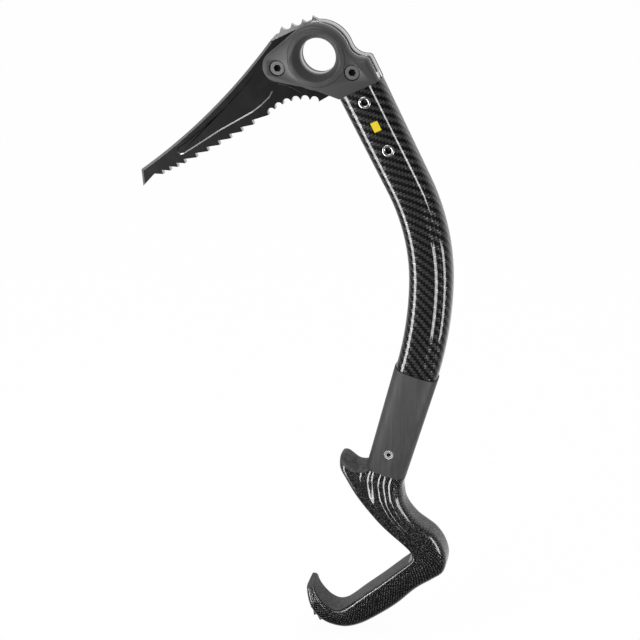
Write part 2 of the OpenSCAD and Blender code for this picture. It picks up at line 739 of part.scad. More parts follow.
// Stations of the handle in the rim's frame: front x and z, back x and z, half thickness, and
// the radii of the front and back corners. Each z is a share of the handle's drop. The front side
// is the inside of the V, and the last station is the hook's tip.
rim_half = end_half_w + sleeve_out;
full_t = handle_t / 2;
handle_stations = [
    [-horn_reach, 0, rim_half, 0, 12.4, 7, 9],
    [-35, -0.055, 16, -0.051, 12.6, 7, 9],
    [-27.2, -0.114, 18.5, -0.099, 12.8, 7, 9],
    [-18.1, -0.173, 21.3, -0.137, full_t, 6.5, 8.5],
    [-6.9, -0.232, 26.5, -0.175, full_t, 6, 8],
    [6.1, -0.292, 34.5, -0.212, full_t, 5.5, 7.5],
    [17.4, -0.332, 42.5, -0.233, full_t, 5, 7],
    [28.2, -0.364, 50.5, -0.253, full_t, 4.5, 7],
    [36, -0.39, 58.5, -0.295, full_t, 4, 7],
    [39.3, -0.413, 64.2, -0.349, full_t, grip_r, 7],
    [40, -0.438, 66.7, -0.401, full_t, grip_r, 7],
    [38.4, -0.463, 66.5, -0.459, full_t, grip_r, 7],
    [35.8, -0.492, 61, -0.514, full_t, grip_r, 7],
    [32, -0.533, 50.5, -0.606, full_t, grip_r, 6.5],
    [22, -0.645, 40.3, -0.733, full_t, grip_r, 6.5],
    [11.1, -0.759, 29, -0.842, full_t, grip_r, 6.5],
    [3.8, -0.84, 18.2, -0.929, full_t, grip_r, 6.5],
    [-0.8, -0.879, 7, -0.984, full_t, grip_r, 6.5],
    [-6.3, -0.898, -5.4, -1, 12.8, grip_r, 6],
    [-12.8, -0.892, -15.5, -0.987, 12.5, grip_r, 5.5],
    [-18.2, -0.872, -23.5, -0.95, 12, 3.2, 5],
    [-22.8, -0.847, -28.3, -0.906, 11.4, 3, 4.5],
    [-26, -0.822, -31.8, -0.854, 10.6, 2.6, 4],
    [-27.5, -0.8, -32.9, -0.824, 9, 2.2, 2.6],
    [-28.5, -0.784, -32.5, -0.789, 6.4, 1.4, 1.4]];
// Stations between which the hook's pad and the core lie, and the length of the pad seat's step
pad_first = 11;
pad_last = 22;
core_first = 5;
core_last = 16;
step_share = 0.02;

// A row between the stations, on a smooth curve through them
function smooth(rows, t) =
    let (n = len(rows), i = min(floor(t), n - 2), f = t - i,
        a = rows[max(i - 1, 0)], b = rows[i], c = rows[i + 1], d = rows[min(i + 2, n - 1)])
    b + f / 2 * ((c - a) + f * ((2 * a - 5 * b + 4 * c - d) + f * (3 * (b - c) + d - a)));

// A station's section: its centre, its direction from front to back, its half width, its half
// thickness and its two corner radii
function frame_at(t) =
    let (row = smooth(handle_stations, t),
        f = [row[0], handle_drop * row[1]],
        b = [row[2], handle_drop * row[3]])
    [(f + b) / 2, unit(b - f), norm(b - f) / 2, row[4], row[5], row[6]];
function in_frame(fr, points) = [for (q = points) lift(fr[0] + q[0] * fr[1], q[1])];

// Half of a rounded rectangle with a slightly crowned front, from the middle of its front over
// +Y to the middle of its back
half_n = 14;
crown = 0.2;
function half_section(hw, ht, rf, rb) = concat(
    [[-hw, 0], [crown / 4 - hw, (ht - rf) / 2]],
    arc([rf - hw + crown, ht - rf], rf, 180, 90, 4),
    arc([hw - rb, ht - rb], rb, 90, 0, 5),
    [[hw, 0]]);
function whole_section(half) = concat(half, [for (i = [half_n - 2:-1:1]) [half[i][0], -half[i][1]]]);

function skin_half(fr) = half_section(fr[2], fr[3], fr[4], fr[5]);
// The skin's section with the seat of the hook's pad
function seat_half(fr) =
    let (h = skin_half(fr), u = pad_t - fr[2])
    concat([[u, 0], [u, fr[3] - fr[4]]], [for (i = [2:half_n - 1]) h[i]]);
// The core's section: a margin of skin all round, and the pad's seat in front
core_front_r = 1.5;
core_back_r = 3;
function core_half(fr, gap) =
    let (hw = fr[2] - skin - pad_t / 2 - gap, ht = fr[3] - skin - gap)
    [for (q = half_section(hw, ht, core_front_r, core_back_r)) q + [pad_t / 2, 0]];
// The pad's section in its seat
function strip_half(fr) =
    let (u = pad_t - pad_gap - fr[2], v = fr[3] - fr[4] - pad_gap)
    concat([[-fr[2], 0], [crown / 4 - fr[2], v / 2], [crown - fr[2], v]],
        [for (i = [3:half_n - 1]) [u, v * (half_n - 1 - i) / (half_n - 4)]]);

skin_places = concat(
    [for (i = [0:loft_rings * pad_first - 1]) i / loft_rings],
    [pad_first - step_share],
    [for (i = [loft_rings * pad_first:loft_rings * pad_last]) i / loft_rings]);
core_places = [for (t = skin_places) if (t >= core_first && t <= core_last) t];

// One half of the handle's skin on the side +Y. Its flat face has the core's hollow in it.
module skin_body() {
    m = len(skin_places);
    n = half_n;
    cm = len(core_places);
    k = m * n;
    rings = [for (t = skin_places)
        let (fr = frame_at(t)) in_frame(fr, t < pad_first ? skin_half(fr) : seat_half(fr))];
    hollows = [for (t = core_places) let (fr = frame_at(t)) in_frame(fr, core_half(fr, 0))];
    // Where the hollow's ring at a place of the skin begins in the list of points
    function hollow_at(i) =
        let (found = search(skin_places[i], core_places))
        len(found) == 0 ? undef : k + found[0] * n;
    function flat_faces(i) =
        let (hi = hollow_at(i), hj = hollow_at(i + 1), a = i * n, b = a + n, e = n - 1)
        hi != undef && hj != undef ? [[a, hi, hj, b], [a + e, b + e, hj + e, hi + e]]
        : hj != undef ? [[a, a + e, b + e, hj + e, hj, b]]
        : hi != undef ? [[a, hi, hi + e, a + e, b + e, b]]
        : [[a, a + e, b + e, b]];
    polyhedron(
        points = concat([for (r = rings) each r], [for (r = hollows) each r]),
        faces = concat(
            [for (i = [0:m - 2], j = [0:n - 2])
                let (a = i * n + j, b = a + 1, c = b + n, d = a + n) each [[a, c, b], [a, d, c]]],
            [for (i = [0:m - 2]) each flat_faces(i)],
            [for (i = [0:cm - 2], j = [0:n - 2])
                let (a = k + i * n + j, b = a + 1, c = b + n, d = a + n) each [[a, b, c], [a, c, d]]],
            end_face(n, 0, false, 6), end_face(n, (m - 1) * n, true, 6),
            end_face(n, k, true, 6), end_face(n, k + (cm - 1) * n, false, 6)),
        convexity = 12);
}

// Lower edge of the horn's pad in the rim's frame, cut into the top of the handle's skin
horn_root = [[-horn_reach - 1, -1.7], [-32.6, -3.2], [-30, -4.7], [-24.6, -6.4], [-15.5, -3.6],
    [-12.6, -0.9]];
horn_half_t = 12.4;
// Slope of that edge at the horn's front, and how far the pad's front moves back at its sides
root_slope = (horn_root[1][1] - horn_root[0][1]) / (horn_root[1][0] - horn_root[0][0]);
horn_round = 2.4;
// The pad's side view at its middle, and how far each point moves towards the pad's sides
horn_loop = concat(
    [[horn_root[5][0] - pad_gap, horn_root[5][1] + pad_gap, 0, 0],
        [-12.6, 0.9, 0, -1.2],
        [-16.4, 0.4, 0, -2.6],
        [-20.3, 0, 0.3, -4],
        [-24.3, 0.6, 0.6, -5],
        [-29.2, horn_h - 1.2, 1, -5.4],
        [-33.2, horn_h, 1.4, -5.4],
        [1.1 - horn_reach, horn_h - 0.9, 1.8, -5.2],
        [-0.1 - horn_reach, horn_h - 3, 2, -2],
        [-horn_reach, horn_root[0][1] + root_slope + pad_gap, horn_round, horn_round * root_slope]],
    [for (i = [1:4]) [horn_root[i][0] + (i == 4 ? -pad_gap : 0), horn_root[i][1] + pad_gap, 0, 0]]);
// Shares of that move at shares of the half thickness
horn_rings = [[-1, 1], [-0.92, 0.84], [-0.8, 0.66], [-0.58, 0.37], [-0.3, 0.1],
    [0.3, 0.1], [0.58, 0.37], [0.8, 0.66], [0.92, 0.84], [1, 1]];

module horn_pad() {
    color("#47484a") at_rim() difference() {
        loft([for (r = horn_rings)
            [for (q = bevelled(horn_loop, r[1])) lift(q, r[0] * horn_half_t)]]);
        linear_extrude(2 * horn_h)
            polygon(section(rim_half + pad_gap, end_half_t + sleeve_out + pad_gap, 0));
    }
}

// The toothed plate, in the rim's frame
spike_places = [
    [-28.7, -0.929], [-25.2, -0.976], [-23.5, -0.975], [-21.1, -1.016], [-19.1, -1.005],
    [-15.3, -1.034], [-13.2, -1.019], [-8.4, -1.032], [-2.7, -1.006], [-5.6, -0.959],
    [-15.3, -0.948], [-21.9, -0.91]];
spike_outline = [for (p = spike_places) [p[0], handle_drop * p[1]]];

module spike_plate() {
    color("#8b8d8f") at_rim() plate(plate_t) polygon(spike_outline);
}

module handle_half() {
    difference() {
        skin_body();
        translate([0, 0, -spigot_down - pad_gap]) linear_extrude(spigot_down + 1)
            polygon(section(spigot_half_w + pad_gap, spigot_half_t + pad_gap, 0));
        plate(2 * handle_t) polygon(concat(horn_root, [[horn_root[5][0], 1], [horn_root[0][0], 1]]));
        plate(plate_t + 2 * plate_gap) polygon(spike_outline);
    }
}

module handle_shell_left() {
    color("#28292b") at_rim() mirror([0, 1, 0]) handle_half();
}

module handle_shell_right() {
    color("#28292b") at_rim() handle_half();
}

module handle_core() {
    color("#cdbf93") at_rim()
        loft([for (t = core_places)
            let (fr = frame_at(t))
            in_frame(fr, whole_section(core_half(fr, core_gap)))], true, 0);
}

module hook_pad() {
    strip_places = concat([pad_first + step_share / 2],
        [for (i = [loft_rings * pad_first + 1:loft_rings * pad_last]) i / loft_rings]);
    tip_places = concat([pad_last + step_share / 2],
        [for (i = [loft_rings * pad_last + 1:loft_rings * (len(handle_stations) - 1)]) i / loft_rings]);
    color("#505153") at_rim() loft(concat(
        [for (t = strip_places) let (fr = frame_at(t)) in_frame(fr, whole_section(strip_half(fr)))],
        [for (t = tip_places) let (fr = frame_at(t)) in_frame(fr, whole_section(skin_half(fr)))]),
        true, 0);
}

pick();
head_cheek_left();
head_cheek_right();
front_bolt();
front_nut();
rear_bolt();
rear_nut();
upper_rivet();
lower_rivet();
shaft();
grip_sleeve();
handle_spigot();
handle_screw();
handle_nut();
handle_shell_left();
handle_shell_right();
handle_core();
horn_pad();
hook_pad();
spike_plate();
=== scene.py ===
import logging
import math
from bisect import bisect_left
from dataclasses import dataclass
from enum import Enum
from itertools import accumulate

import bmesh
import bpy
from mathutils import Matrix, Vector

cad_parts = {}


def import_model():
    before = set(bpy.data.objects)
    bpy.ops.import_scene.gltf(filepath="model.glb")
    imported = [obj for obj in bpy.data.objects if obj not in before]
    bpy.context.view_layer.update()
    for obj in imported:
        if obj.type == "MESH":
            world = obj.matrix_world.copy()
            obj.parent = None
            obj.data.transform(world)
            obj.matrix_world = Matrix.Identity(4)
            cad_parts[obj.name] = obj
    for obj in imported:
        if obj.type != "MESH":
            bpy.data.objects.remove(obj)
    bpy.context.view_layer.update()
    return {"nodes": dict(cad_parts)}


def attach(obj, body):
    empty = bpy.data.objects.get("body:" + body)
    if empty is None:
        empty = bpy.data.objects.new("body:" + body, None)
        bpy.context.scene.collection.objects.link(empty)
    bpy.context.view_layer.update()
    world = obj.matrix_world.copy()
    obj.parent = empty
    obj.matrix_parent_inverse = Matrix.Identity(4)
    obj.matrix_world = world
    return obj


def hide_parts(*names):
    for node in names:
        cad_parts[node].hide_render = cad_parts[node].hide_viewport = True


log = logging.getLogger("ice_climbing_tool")
MM = 0.001
ROOT = "root"
Pair = tuple[float, float]
Spot = tuple[float, float, float]
Ring = list[Vector]
Piece = bpy.types.Object
Tree = bpy.types.NodeTree
Node = bpy.types.Node
Material = bpy.types.Material


class Weave(Enum):
    """Cloth that a carbon piece is laid up from, by the width of one tow in mm."""

    COARSE_TWILL = 1.7
    FINE_TWILL = 0.7


class Side(Enum):
    """Side of the tool's middle plane."""

    LEFT = -1
    RIGHT = 1


def linear(hex_colour: str) -> tuple[float, float, float, float]:
    """Turn an sRGB hex colour such as "#5c5d5f" into linear RGBA."""
    parts = [int(hex_colour[i : i + 2], 16) / 255 for i in (1, 3, 5)]
    return (*(c / 12.92 if c <= 0.04045 else ((c + 0.055) / 1.055) ** 2.4 for c in parts), 1.0)


def add(tree: Tree, kind: str, inputs: dict | None = None, **settings: object) -> Node:
    """Add one node with its settings, constants and links.

    Args:
        tree: Node tree that the node goes into.
        kind: Kind of shader node.
        inputs: What goes into each input in use, by its number or name: a constant, a hex colour,
            an output, or a node, which gives its first output in use.
        **settings: Properties of the node itself.

    Returns:
        The new node.
    """
    node = tree.nodes.new(f"ShaderNode{kind}")
    for name, value in settings.items():
        setattr(node, name, value)
    for key, value in (inputs or {}).items():
        goal = next(s for i, s in enumerate(node.inputs) if s.enabled and key in (i, s.name))
        if isinstance(value, Node):
            value = next(output for output in value.outputs if output.enabled)
        if isinstance(value, bpy.types.NodeSocket):
            tree.links.new(value, goal)
        else:
            goal.default_value = linear(value) if isinstance(value, str) else value
    return node


def within(tree: Tree, *tests: tuple[object, str, float]) -> Node:
    """Add a mask that is 1 where every test holds and 0 elsewhere.

    Args:
        tree: Node tree that the mask goes into.
        *tests: A value, LESS_THAN or GREATER_THAN, and the limit that it is held against.

    Returns:
        The mask's last node.
    """
    mask = None
    for value, operation, limit in tests:
        test = add(tree, "Math", {0: value, 1: limit}, operation=operation)
        mask = add(tree, "Math", {0: mask, 1: test}, operation="MULTIPLY") if mask else test
    return mask


class Finish:
    """What all finishes share: a name, and nodes that end in one shader.

    Lengths are in mm. Fine grains and tool marks are drawn at 0.3 to 0.6 mm, which is as coarse as
    they need to be to show.
    """

    name: str

    def shader(self, tree: Tree) -> Node:
        """Add the finish's nodes and return the last, its shader."""
        raise NotImplementedError

    def build(self) -> Material:
        """Make the finish.

        Returns:
            The material.
        """
        material = bpy.data.materials.new(self.name)
        material.use_nodes = True
        tree = material.node_tree
        tree.nodes.clear()
        add(tree, "OutputMaterial", {0: self.shader(tree)})
        return material


@dataclass(frozen=True)
class BlackCoatedSteel(Finish):
    """Quenched chromoly plate with a black powder coat, cut and ground bare after coating.

    The coat gives a satin black with a fine orange peel. Cut edges, ground bevels and the milled
    pocket's wall give bright grey steel with the marks of the belt, but the wall's upper run, which
    faces down away from the lamps, is painted the coat's black as painted shade.
    """

    name: str = "black_coated_steel"
    coat: str = "#121212"
    coat_rubbed: str = "#272728"
    steel: str = "#cecece"
    steel_dull: str = "#a2a2a2"
    side_facing: float = 0.975
    crest_half: float = 1.95
    crest_above: float = 8
    rear_from: float = -6
    rear_above: float = -18
    wall_shade_facing: Spot = (0.529, 0.0, -0.848)
    wall_shade_limit: float = 0.1
    wall_side_facing: float = 0.5
    peel_mm: float = 0.6
    belt_mm: float = 0.3
    belt_lean: float = -38
    belt_stretch: float = 0.06
    rub_mm: float = 14.3

    def bare(self, tree: Tree) -> Node:
        """Add the nodes that tell bare steel from the coat.

        Args:
            tree: The material's node tree.

        Returns:
            A node that gives 1 on bare steel and 0 on the coat.
        """
        geometry = add(tree, "NewGeometry")
        normal = geometry.outputs["True Normal"]
        x, y, z = add(tree, "SeparateXYZ", {0: geometry.outputs["Position"]}).outputs
        sideways = add(tree, "SeparateXYZ", {0: normal}).outputs["Y"]
        facing, depth = [add(tree, "Math", {0: n}, operation="ABSOLUTE") for n in (sideways, y)]
        wall = add(tree, "VectorMath", {0: normal, 1: self.wall_shade_facing}, operation="DOT_PRODUCT")
        # A face that isn't one of the plate's two sides was cut or ground after coating, so it is
        # bare, but the upper run of the pocket's wall, which faces down, is given the coat's black
        # as painted shade.
        cut = within(tree, (facing, "LESS_THAN", self.side_facing))
        sloping = (facing, "GREATER_THAN", self.wall_side_facing)
        painted_wall_shade = within(tree, (wall, "GREATER_THAN", self.wall_shade_limit), sloping)
        bare = add(tree, "Math", {0: cut, 1: painted_wall_shade}, operation="SUBTRACT")
        # The top teeth are ground thinner than the plate, so their sides are bare too, and the
        # band behind the cheeks was linished with the edge.
        thin = (depth, "LESS_THAN", self.crest_half * MM)
        behind = (x, "GREATER_THAN", self.rear_from * MM)
        for test, above in ((thin, self.crest_above), (behind, self.rear_above)):
            more = within(tree, test, (z, "GREATER_THAN", above * MM))
            bare = add(tree, "Math", {0: bare, 1: more}, operation="MAXIMUM")
        return bare

    def shader(self, tree: Tree) -> Node:
        """Add the finish's nodes.

        Args:
            tree: The material's node tree.

        Returns:
            The shader.
        """
        bare = self.bare(tree)
        where = add(tree, "TexCoord").outputs["Object"]
        peel = add(tree, "TexNoise", {0: where, "Scale": 1 / self.peel_mm / MM, "Detail": 2})
        turn, stretch = (0, math.radians(self.belt_lean), 0), (self.belt_stretch, 1, 1)
        along = add(tree, "Mapping", {0: where, "Rotation": turn, "Scale": stretch})
        belt = add(tree, "TexNoise", {0: along, "Scale": 1 / self.belt_mm / MM, "Detail": 3})
        patch = {0: where, "Scale": 1 / self.rub_mm / MM, "Detail": 7, "Roughness": 0.68}
        rub = add(tree, "TexNoise", patch)
        rubbed = add(tree, "MapRange", {0: rub, "From Min": 0.45, "From Max": 0.85})
        coats = {0: rubbed, "A": self.coat, "B": self.coat_rubbed}
        coat = add(tree, "Mix", coats, data_type="RGBA")
        steels = {0: belt, "A": self.steel_dull, "B": self.steel}
        steel = add(tree, "Mix", steels, data_type="RGBA")
        tone = add(tree, "Mix", {0: bare, "A": coat, "B": steel}, data_type="RGBA")
        height = add(tree, "Mix", {0: bare, "A": peel, "B": belt})
        bump = add(tree, "Bump", {"Strength": 0.12, "Distance": 0.05 * MM, "Height": height})
        rough = add(tree, "MapRange", {0: bare, "To Min": 0.5, "To Max": 0.36})
        sockets = {"Base Color": tone, "Metallic": bare, "Roughness": rough, "Normal": bump}
        return add(tree, "BsdfPrincipled", {**sockets, "Specular IOR Level": 0.15})


@dataclass(frozen=True)
class AnodisedAluminium(Finish):
    """Forged 7075 aluminium, bead blasted and hard anodised grey.

    The blast leaves a fine even grain that spreads every reflection. The oxide is a little uneven
    in tone.
    """

    name: str = "anodised_aluminium"
    colour: str = "#464647"
    pale: str = "#565657"
    bare: str = "#f4f4f4"
    bare_half: float = 5.6
    bare_out: float = 20
    bare_from: float = -6
    bare_above: float = -18
    bare_roughness: float = 0.24
    grain_mm: float = 0.35
    cloud_mm: float = 22.2
    roughness: float = 0.45
    metallic: float = 0.3

    def shader(self, tree: Tree) -> Node:
        """Add the finish's nodes.

        Args:
            tree: The material's node tree.

        Returns:
            The shader.
        """
        where = add(tree, "TexCoord").outputs["Object"]
        grain = add(tree, "TexNoise", {0: where, "Scale": 1 / self.grain_mm / MM, "Detail": 2})
        patch = {0: where, "Scale": 1 / self.cloud_mm / MM, "Detail": 4, "Roughness": 0.6}
        cloud = add(tree, "TexNoise", patch)
        oxide = add(tree, "Mix", {0: cloud, "A": self.colour, "B": self.pale}, data_type="RGBA")
        x, y, z = add(tree, "SeparateXYZ", {0: where}).outputs
        off = add(tree, "Math", {0: y}, operation="ABSOLUTE")
        flat = add(tree, "VectorMath", {0: where, 1: (1, 0, 1)}, operation="MULTIPLY")
        out = add(tree, "VectorMath", {0: flat}, operation="LENGTH")
        # The head's rear rim was ground flush with the pick after anodising, so a band is bare.
        bare = within(
            tree,
            (off, "LESS_THAN", self.bare_half * MM),
            (out, "GREATER_THAN", self.bare_out * MM),
            (x, "GREATER_THAN", self.bare_from * MM),
            (z, "GREATER_THAN", self.bare_above * MM),
        )
        tone = add(tree, "Mix", {0: bare, "A": oxide, "B": self.bare}, data_type="RGBA")
        bump = add(tree, "Bump", {"Strength": 0.1, "Distance": 0.04 * MM, "Height": grain})
        spread = {0: bare, "To Min": self.roughness, "To Max": self.bare_roughness}
        rough = add(tree, "MapRange", spread)
        metal = add(tree, "MapRange", {0: bare, "To Min": self.metallic, "To Max": 1.0})
        sockets = {"Base Color": tone, "Metallic": metal, "Roughness": rough, "Normal": bump}
        return add(tree, "BsdfPrincipled", sockets)


@dataclass(frozen=True)
class TurnedMetal(Finish):
    """Turned bright metal with fine rings, a few rub marks and painted shade in its recesses."""

    name: str
    colour: str
    worn: str
    roughness: float = 0.28
    metallic: float = 1.0
    grain_mm: float = 0.4
    shade_within_mm: float = 0.0
    recess_shade: str = "#1c1c1d"

    def shader(self, tree: Tree) -> Node:
        """Add the finish's nodes.

        Args:
            tree: The material's node tree.

        Returns:
            The shader.
        """
        where = add(tree, "TexCoord").outputs["Object"]
        grain = add(tree, "TexNoise", {0: where, "Scale": 1 / self.grain_mm / MM, "Detail": 3})
        metal = add(tree, "Mix", {0: grain, "A": self.worn, "B": self.colour}, data_type="RGBA")
        # Painted shade: inside a socket or bore, nearer the middle plane than the limit, the metal
        # is painted dark where shade falls.
        across = add(tree, "SeparateXYZ", {0: where}).outputs["Y"]
        depth = add(tree, "Math", {0: across}, operation="ABSOLUTE")
        shaded_recess = within(tree, (depth, "LESS_THAN", self.shade_within_mm * MM))
        tone = add(tree, "Mix", {0: shaded_recess, "A": metal, "B": self.recess_shade}, data_type="RGBA")
        spread = {0: grain, "To Min": self.roughness + 0.1, "To Max": self.roughness - 0.08}
        rough = add(tree, "MapRange", spread)
        bump = add(tree, "Bump", {"Strength": 0.08, "Distance": 0.03 * MM, "Height": grain})
        sockets = {"Base Color": tone, "Roughness": rough, "Normal": bump}
        return add(tree, "BsdfPrincipled", {**sockets, "Metallic": self.metallic})


@dataclass(frozen=True)
class WovenCarbon(Finish):
    """Carbon cloth in epoxy under a clear gloss coat.

    Tows that lie across each other shine by turns, under one smooth glossy skin. That sheen is
    painted into the colour: the tows on top are painted paler, with painted glints along them. The
    cloth is a 2x2 twill, so each tow passes over two and under two, one step on in each row. The
    coarse cloth is drawn with its tows as wide as they need to be to show.
    """

    weave: Weave
    dark: str = "#060606"
    painted_sheen: str = "#5c5c5e"
    resin: str = "#030303"
    dull: float = 0.0
    speckle_mm: float = 1.7
    repeat: float = 4.0

    @property
    def name(self) -> str:
        """The finish's name, after its weave."""
        return f"carbon_{self.weave.name.lower()}"

    def shader(self, tree: Tree) -> Node:
        """Add the finish's nodes.

        Args:
            tree: The material's node tree.

        Returns:
            The shader.
        """
        tow = self.weave.value * MM
        cloth = add(tree, "Attribute", attribute_name="cloth").outputs["Vector"]
        cells = add(tree, "VectorMath", {0: cloth, "Scale": 1 / tow}, operation="SCALE")
        runs = add(tree, "SeparateXYZ", {0: cells}).outputs[:2]
        warp_no, weft_no = [add(tree, "Math", {0: run}, operation="FLOOR") for run in runs]
        warp, weft = [add(tree, "Math", {0: run}, operation="FRACT") for run in runs]
        step = add(tree, "Math", {0: warp_no, 1: weft_no}, operation="ADD")
        beat = add(tree, "Math", {0: step, 1: self.repeat}, operation="FLOORED_MODULO")
        warp_up = within(tree, (beat, "LESS_THAN", self.repeat / 2 - 0.5))
        # A tow is round across its width, so its height falls off to both sides.
        across = add(tree, "Mix", {0: warp_up, "A": weft, "B": warp})
        turn = add(tree, "Math", {0: across, 1: math.pi}, operation="MULTIPLY")
        round_top = add(tree, "Math", {0: turn}, operation="SINE")
        fibre = add(tree, "TexNoise", {0: cloth, "Scale": 1 / self.speckle_mm / MM, "Detail": 3})
        # Painted glints: loose fibres are painted pale here and there along a tow, as highlights.
        share = {0: fibre, "From Min": 0.48, "From Max": 0.6, "To Min": self.dull}
        painted_glint = add(tree, "MapRange", share)
        # Painted sheen: the tows on top take the paler painted tone, and some metallic shine, by
        # the glints.
        lit = add(tree, "Math", {0: warp_up, 1: painted_glint}, operation="MULTIPLY")
        tows_and_sheen = add(tree, "Mix", {0: lit, "A": self.dark, "B": self.painted_sheen}, data_type="RGBA")
        edge = add(tree, "MapRange", {0: round_top, "From Max": 0.5})
        tone = add(tree, "Mix", {0: edge, "A": self.resin, "B": tows_and_sheen}, data_type="RGBA")
        relief = add(tree, "Math", {0: fibre, 1: 0.35, 2: round_top}, operation="MULTIPLY_ADD")
        bump = add(tree, "Bump", {"Strength": 0.5, "Distance": 0.12 * tow, "Height": relief})
        rough = add(tree, "MapRange", {0: warp_up, "To Min": 0.5, "To Max": 0.36})
        metal = add(tree, "Math", {0: lit, 1: 0.75}, operation="MULTIPLY")
        sockets = {"Base Color": tone, "Metallic": metal, "Roughness": rough, "Normal": bump}
        sockets |= {"Specular IOR Level": 0.1, "Coat Weight": 0.8, "Coat Roughness": 0.04}
        return add(tree, "BsdfPrincipled", sockets)


@dataclass(frozen=True)
class MouldedPlastic(Finish):
    """Matte moulded plastic or rubber with a fine spark-eroded grain.

    Streaks along the piece are the flow marks of an extruded or shrunk sleeve.
    """

    name: str
    colour: str
    pale: str
    roughness: float
    grain_mm: float
    mottle_mm: float = 16.0
    streaks: float = 0.0
    streak_mm: float = 2.38
    lean: float = 0.0

    def shader(self, tree: Tree) -> Node:
        """Add the finish's nodes.

        Args:
            tree: The material's node tree.

        Returns:
            The shader.
        """
        where = add(tree, "TexCoord").outputs["Object"]
        grain = add(tree, "TexNoise", {0: where, "Scale": 1 / self.grain_mm / MM, "Detail": 2})
        turn = (0, math.radians(-self.lean), 0)
        flow = add(tree, "Mapping", {0: where, "Rotation": turn, "Scale": (1, 1, 0.03)})
        marks = {0: flow, "Scale": 1 / self.streak_mm / MM, "Detail": 4, "Roughness": 0.7}
        streak = add(tree, "TexNoise", marks)
        patch = {0: where, "Scale": 1 / self.mottle_mm / MM, "Detail": 5, "Roughness": 0.65}
        cloud = add(tree, "TexNoise", patch)
        mottle = add(tree, "Mix", {0: self.streaks, "A": cloud, "B": streak})
        spread = add(tree, "MapRange", {0: mottle, "From Min": 0.3, "From Max": 0.7})
        tone = add(tree, "Mix", {0: spread, "A": self.colour, "B": self.pale}, data_type="RGBA")
        relief = add(tree, "Mix", {0: self.streaks * 0.5, "A": grain, "B": streak})
        bump = add(tree, "Bump", {"Strength": 0.25, "Distance": 0.06 * MM, "Height": relief})
        sockets = {"Base Color": tone, "Roughness": self.roughness, "Normal": bump}
        return add(tree, "BsdfPrincipled", {**sockets, "Specular IOR Level": 0.35})


@dataclass(frozen=True)
class YellowEnamel(Finish):
    """Screen-printed yellow enamel, a little uneven where it is thin."""

    name: str = "yellow_enamel"
    colour: str = "#ffe600"
    thin: str = "#f0cf08"
    patch_mm: float = 1.11

    def shader(self, tree: Tree) -> Node:
        """Add the finish's nodes.

        Args:
            tree: The material's node tree.

        Returns:
            The shader.
        """
        where = add(tree, "TexCoord").outputs["Object"]
        patch = add(tree, "TexNoise", {0: where, "Scale": 1 / self.patch_mm / MM, "Detail": 2})
        tone = add(tree, "Mix", {0: patch, "A": self.thin, "B": self.colour}, data_type="RGBA")
        return add(tree, "BsdfPrincipled", {"Base Color": tone, "Roughness": 0.35})


@dataclass(frozen=True)
class PalePaper(Finish):
    """White seamless paper. It shows as the plain background and keeps the tool's shadow."""

    name: str = "pale_paper"
    colour: str = "#fafafa"
    shown: float = 0.97

    def shader(self, tree: Tree) -> Node:
        """Add the finish's nodes.

        Args:
            tree: The material's node tree.

        Returns:
            The shader.
        """
        ray = add(tree, "LightPath").outputs
        rays = {0: ray["Is Camera Ray"], 1: ray["Is Transmission Ray"]}
        seen = add(tree, "Math", rays, operation="MAXIMUM")
        share = add(tree, "Math", {0: seen, 1: self.shown}, operation="MULTIPLY")
        paper = add(tree, "BsdfDiffuse", {"Color": self.colour})
        return add(tree, "MixShader", {0: share, 1: paper, 2: add(tree, "Emission")})


def up(lean: float) -> Pair:
    """Direction up along the shaft at a lean in degrees, as (x, z)."""
    return (-math.sin(math.radians(lean)), math.cos(math.radians(lean)))


def back(lean: float) -> Pair:
    """Direction towards the shaft's back at a lean in degrees, as (x, z)."""
    return (math.cos(math.radians(lean)), math.sin(math.radians(lean)))


def moved(p: Pair, *steps: tuple[float, Pair]) -> Pair:
    """Return a plane point moved by lengths along directions."""
    return (p[0] + sum(k * d[0] for k, d in steps), p[1] + sum(k * d[1] for k, d in steps))


def even(start: float, end: float, steps: int) -> list[float]:
    """Return evenly spaced numbers, both ends included."""
    return [start + (end - start) * i / steps for i in range(steps + 1)]


def arc(centre: Pair, r: float, start: float, end: float, steps: int) -> list[Pair]:
    """Return points along an arc, both ends included, with angles in degrees."""
    return [moved(centre, (r, back(a))) for a in even(start, end, steps)]


def lifted(p: Pair, y: float) -> Vector:
    """Return a plane point at a depth, in metres."""
    return Vector((p[0], y, p[1])) * MM


def smooth(rows: list[tuple[float, ...]], t: float) -> list[float]:
    """Return a row on a smooth curve through all the rows.

    Args:
        rows: Rows of numbers.
        t: Place along the curve, where each whole number is one of the rows.

    Returns:
        The row at that place.
    """
    last = len(rows) - 1
    i = min(int(t), last - 1)
    f = t - i
    found = []
    for a, b, c, d in zip(*(rows[min(max(k, 0), last)] for k in range(i - 1, i + 3))):
        bend = 2 * a - 5 * b + 4 * c - d + f * (3 * (b - c) + d - a)
        found.append(b + f / 2 * (c - a + f * bend))
    return found


def path_lengths(points: list[Pair]) -> list[float]:
    """Return the length along a path at each of its points, from 0."""
    return [0.0, *accumulate(math.dist(p, q) for p, q in zip(points, points[1:]))]


def spaced(points: list[Pair], wants: list[float]) -> list[Pair]:
    """Return the points of a path at given lengths along it.

    Args:
        points: The path.
        wants: Lengths from its start.

    Returns:
        One point for each length.
    """
    lengths, found = path_lengths(points), []
    for want in wants:
        i = min(bisect_left(lengths, want, 1) - 1, len(points) - 2)
        f = (want - lengths[i]) / max(lengths[i + 1] - lengths[i], 1e-9)
        found.append(tuple(p + (q - p) * f for p, q in zip(points[i], points[i + 1])))
    return found


def link(name: str, data: bpy.types.ID) -> Piece:
    """Put a mesh, a lamp or the camera into the scene.

    Args:
        name: Name of the new object.
        data: What the object shows.

    Returns:
        The new object.
    """
    piece = bpy.data.objects.new(name, data)
    bpy.context.scene.collection.objects.link(piece)
    return piece


